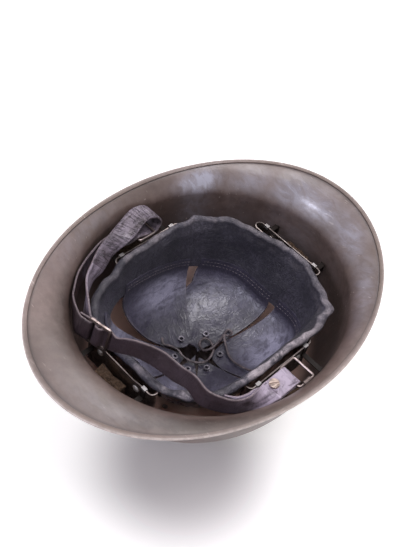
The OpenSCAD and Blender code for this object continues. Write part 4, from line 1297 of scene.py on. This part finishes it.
def makeFrontSpacer():
    piece = copyOf("spacer_front", "spacerFrontStrip")
    pick(piece)
    bpy.ops.object.mode_set(mode="EDIT")
    for cut in frontSpacer["cuts"]:
        bpy.ops.mesh.select_all(action="SELECT")
        bpy.ops.mesh.bisect(plane_co=(cut * millimetre, 0, 0), plane_no=(1, 0, 0))
    bpy.ops.object.mode_set(mode="OBJECT")
    top = max(v.co.z for v in piece.data.vertices)
    for v in piece.data.vertices:
        if v.co.z > top - frontSpacer["edge"] * millimetre:
            kept = rise(frontSpacer["flat"], frontSpacer["clip"], abs(v.co.x) / millimetre)
            v.co.z -= frontSpacer["wear"] * millimetre * (1 - kept)
    smooth(piece, 30)
    return dressed(piece, metals["strip"], replaces=("spacer_front",))


makeFrontSpacer()
print("front spacer done")


# screw, turned so that its slot lies as in the photograph
screw = dict(turn=60)


def makeScrew():
    piece = copyOf("strap_screw", "strapScrewBrass")
    corners = [v.co for v in piece.data.vertices]
    middle = Vector([(min(c[i] for c in corners) + max(c[i] for c in corners)) / 2 for i in range(3)])
    turned = Matrix.Translation(middle) @ Matrix.Rotation(math.radians(screw["turn"]), 4, "Z")
    piece.data.transform(turned @ Matrix.Translation(-middle))
    smooth(piece, 30)
    return dressed(piece, metals["brass"], "ring_right", ("strap_screw",))


makeScrew()
print("screw done")


# finishes of the CAD nodes
finishes = (
    (paint, "shell crest crest_rivets lug_rivets"),
    (bandLeather, "headband"),
    (tongueLeather, "tongue_rear_left tongue_rear tongue_right tongue_front_right tongue_front tongue_front_left"),
    (strapLeather, "chinstrap"),
    (laceLeather, "lace"),
    (felt, "pad_rear pad_front pad_right pad_left"),
    (metals["strip"], "spacer_rear spacer_front spacer_right spacer_left"),
    (metals["wire"], "lug_right lug_left ring_right ring_left slide_buckle"),
    (metals["clip"], "spacer_clips"),
    (metals["rivet"], "spacer_rivets"),
    (metals["eyelet"], "eyelets"),
    (metals["brass"], "strap_screw strap_nut"),
)
for finish, nodeNames in finishes:
    for nodeName in nodeNames.split():
        nodes[nodeName].data.materials.clear()
        nodes[nodeName].data.materials.append(finish)
print("finishes done")


# floor, lamp and world
studio = dict(
    zenith=0.82,
    horizon=0.14,
    zenithFrom=0.8,
    floor=(0.8, 0.765, 0.775),
    # white backdrop: in reflections and seen directly
    backdrop=(1.0, 1.25),
    # painted shadow: the floor glows away from the contact and from a place under the brim, and stays darker near
    # them: places, inner and outer reach, strength
    floorGlowWithPaintedShadow=(((0.05, -0.05, 0), (0.004, -0.004, 0)), 0.03, 0.1, 0.56),
    floorSize=12,
    floorZ=-0.0002,
    aim=(0, 0, 0.08),
    # place, size, power and colour
    lamps=dict(
        keyLamp=((-0.34, -1.2, 1.0), 0.44, 4.6, (0.93, 0.94, 1.14)),
        overheadLamp=((0.1, 0.02, 1.6), 0.9, 11.5, (1, 0.975, 0.99)),
        backLamp=((-0.75, 1.15, 0.95), 0.7, 5, (1, 0.96, 0.94)),
    ),
)


def seenDirectly(tree):
    # camera, mirror and glass rays see the white backdrop
    path = addNode(tree, "LightPath").outputs
    seen = reckon(tree, "MAXIMUM", path["Is Camera Ray"], path["Is Transmission Ray"])
    return reckon(tree, "MAXIMUM", seen, path["Is Glossy Ray"])


def makeFloor():
    deselectAll()
    bpy.ops.mesh.primitive_plane_add(size=studio["floorSize"], location=(0, 0, studio["floorZ"]))
    floor = bpy.context.object
    floor.name = "floor"
    material = bpy.data.materials.new("paleFloor")
    material.use_nodes = True
    tree = material.node_tree
    tree.nodes.clear()
    output = addNode(tree, "OutputMaterial")
    matte = addNode(tree, "BsdfDiffuse", {"Color": (*studio["floor"], 1)})
    # painted shadow: the glow is left out near the contact and under the brim
    places, nearBy, farOff, most = studio["floorGlowWithPaintedShadow"]
    position = addNode(tree, "NewGeometry").outputs["Position"]
    reaches = [addNode(tree, "VectorMath", {0: position, 1: place}, operation="DISTANCE") for place in places]
    nearest = reckon(tree, "MINIMUM", *[reach.outputs["Value"] for reach in reaches])
    strength = span(tree, nearest, nearBy, farOff, 0.0, most)
    glow = addNode(tree, "Emission", {"Strength": reckon(tree, "MULTIPLY", seenDirectly(tree), strength)})
    both = addNode(tree, "AddShader", {0: matte.outputs[0], 1: glow.outputs[0]})
    tree.links.new(both.outputs[0], output.inputs["Surface"])
    floor.data.materials.append(material)


def makeWorld():
    world = bpy.data.worlds.new("studioWorld")
    scene.world = world
    world.use_nodes = True
    tree = world.node_tree
    tree.nodes.clear()
    output = addNode(tree, "OutputWorld")
    height = addNode(tree, "SeparateXYZ", {0: addNode(tree, "TexCoord").outputs["Generated"]}).outputs["Z"]
    strength = span(tree, height, 0.0, studio["zenithFrom"], studio["horizon"], studio["zenith"])
    light = addNode(tree, "Background", {"Strength": strength})
    camera = addNode(tree, "LightPath").outputs["Is Camera Ray"]
    white = addNode(tree, "Background", {"Strength": span(tree, camera, 0.0, 1.0, *studio["backdrop"])})
    both = addNode(tree, "MixShader", {0: seenDirectly(tree), 1: light.outputs[0], 2: white.outputs[0]})
    tree.links.new(both.outputs[0], output.inputs["Surface"])


def addLamp(name, at, aim, size, power, colour):
    data = bpy.data.lights.new(name, "AREA")
    data.shape = "DISK"
    data.size = size
    data.energy = power
    data.color = colour
    lamp = bpy.data.objects.new(name, data)
    scene.collection.objects.link(lamp)
    lamp.location = at
    lamp.rotation_mode = "QUATERNION"
    lamp.rotation_quaternion = (Vector(aim) - Vector(at)).to_track_quat("-Z", "Y")


makeFloor()
makeWorld()
for lampName, (at, size, power, colour) in studio["lamps"].items():
    addLamp(lampName, at, studio["aim"], size, power, colour)
scene.view_settings.view_transform = "Standard"
print("studio done")
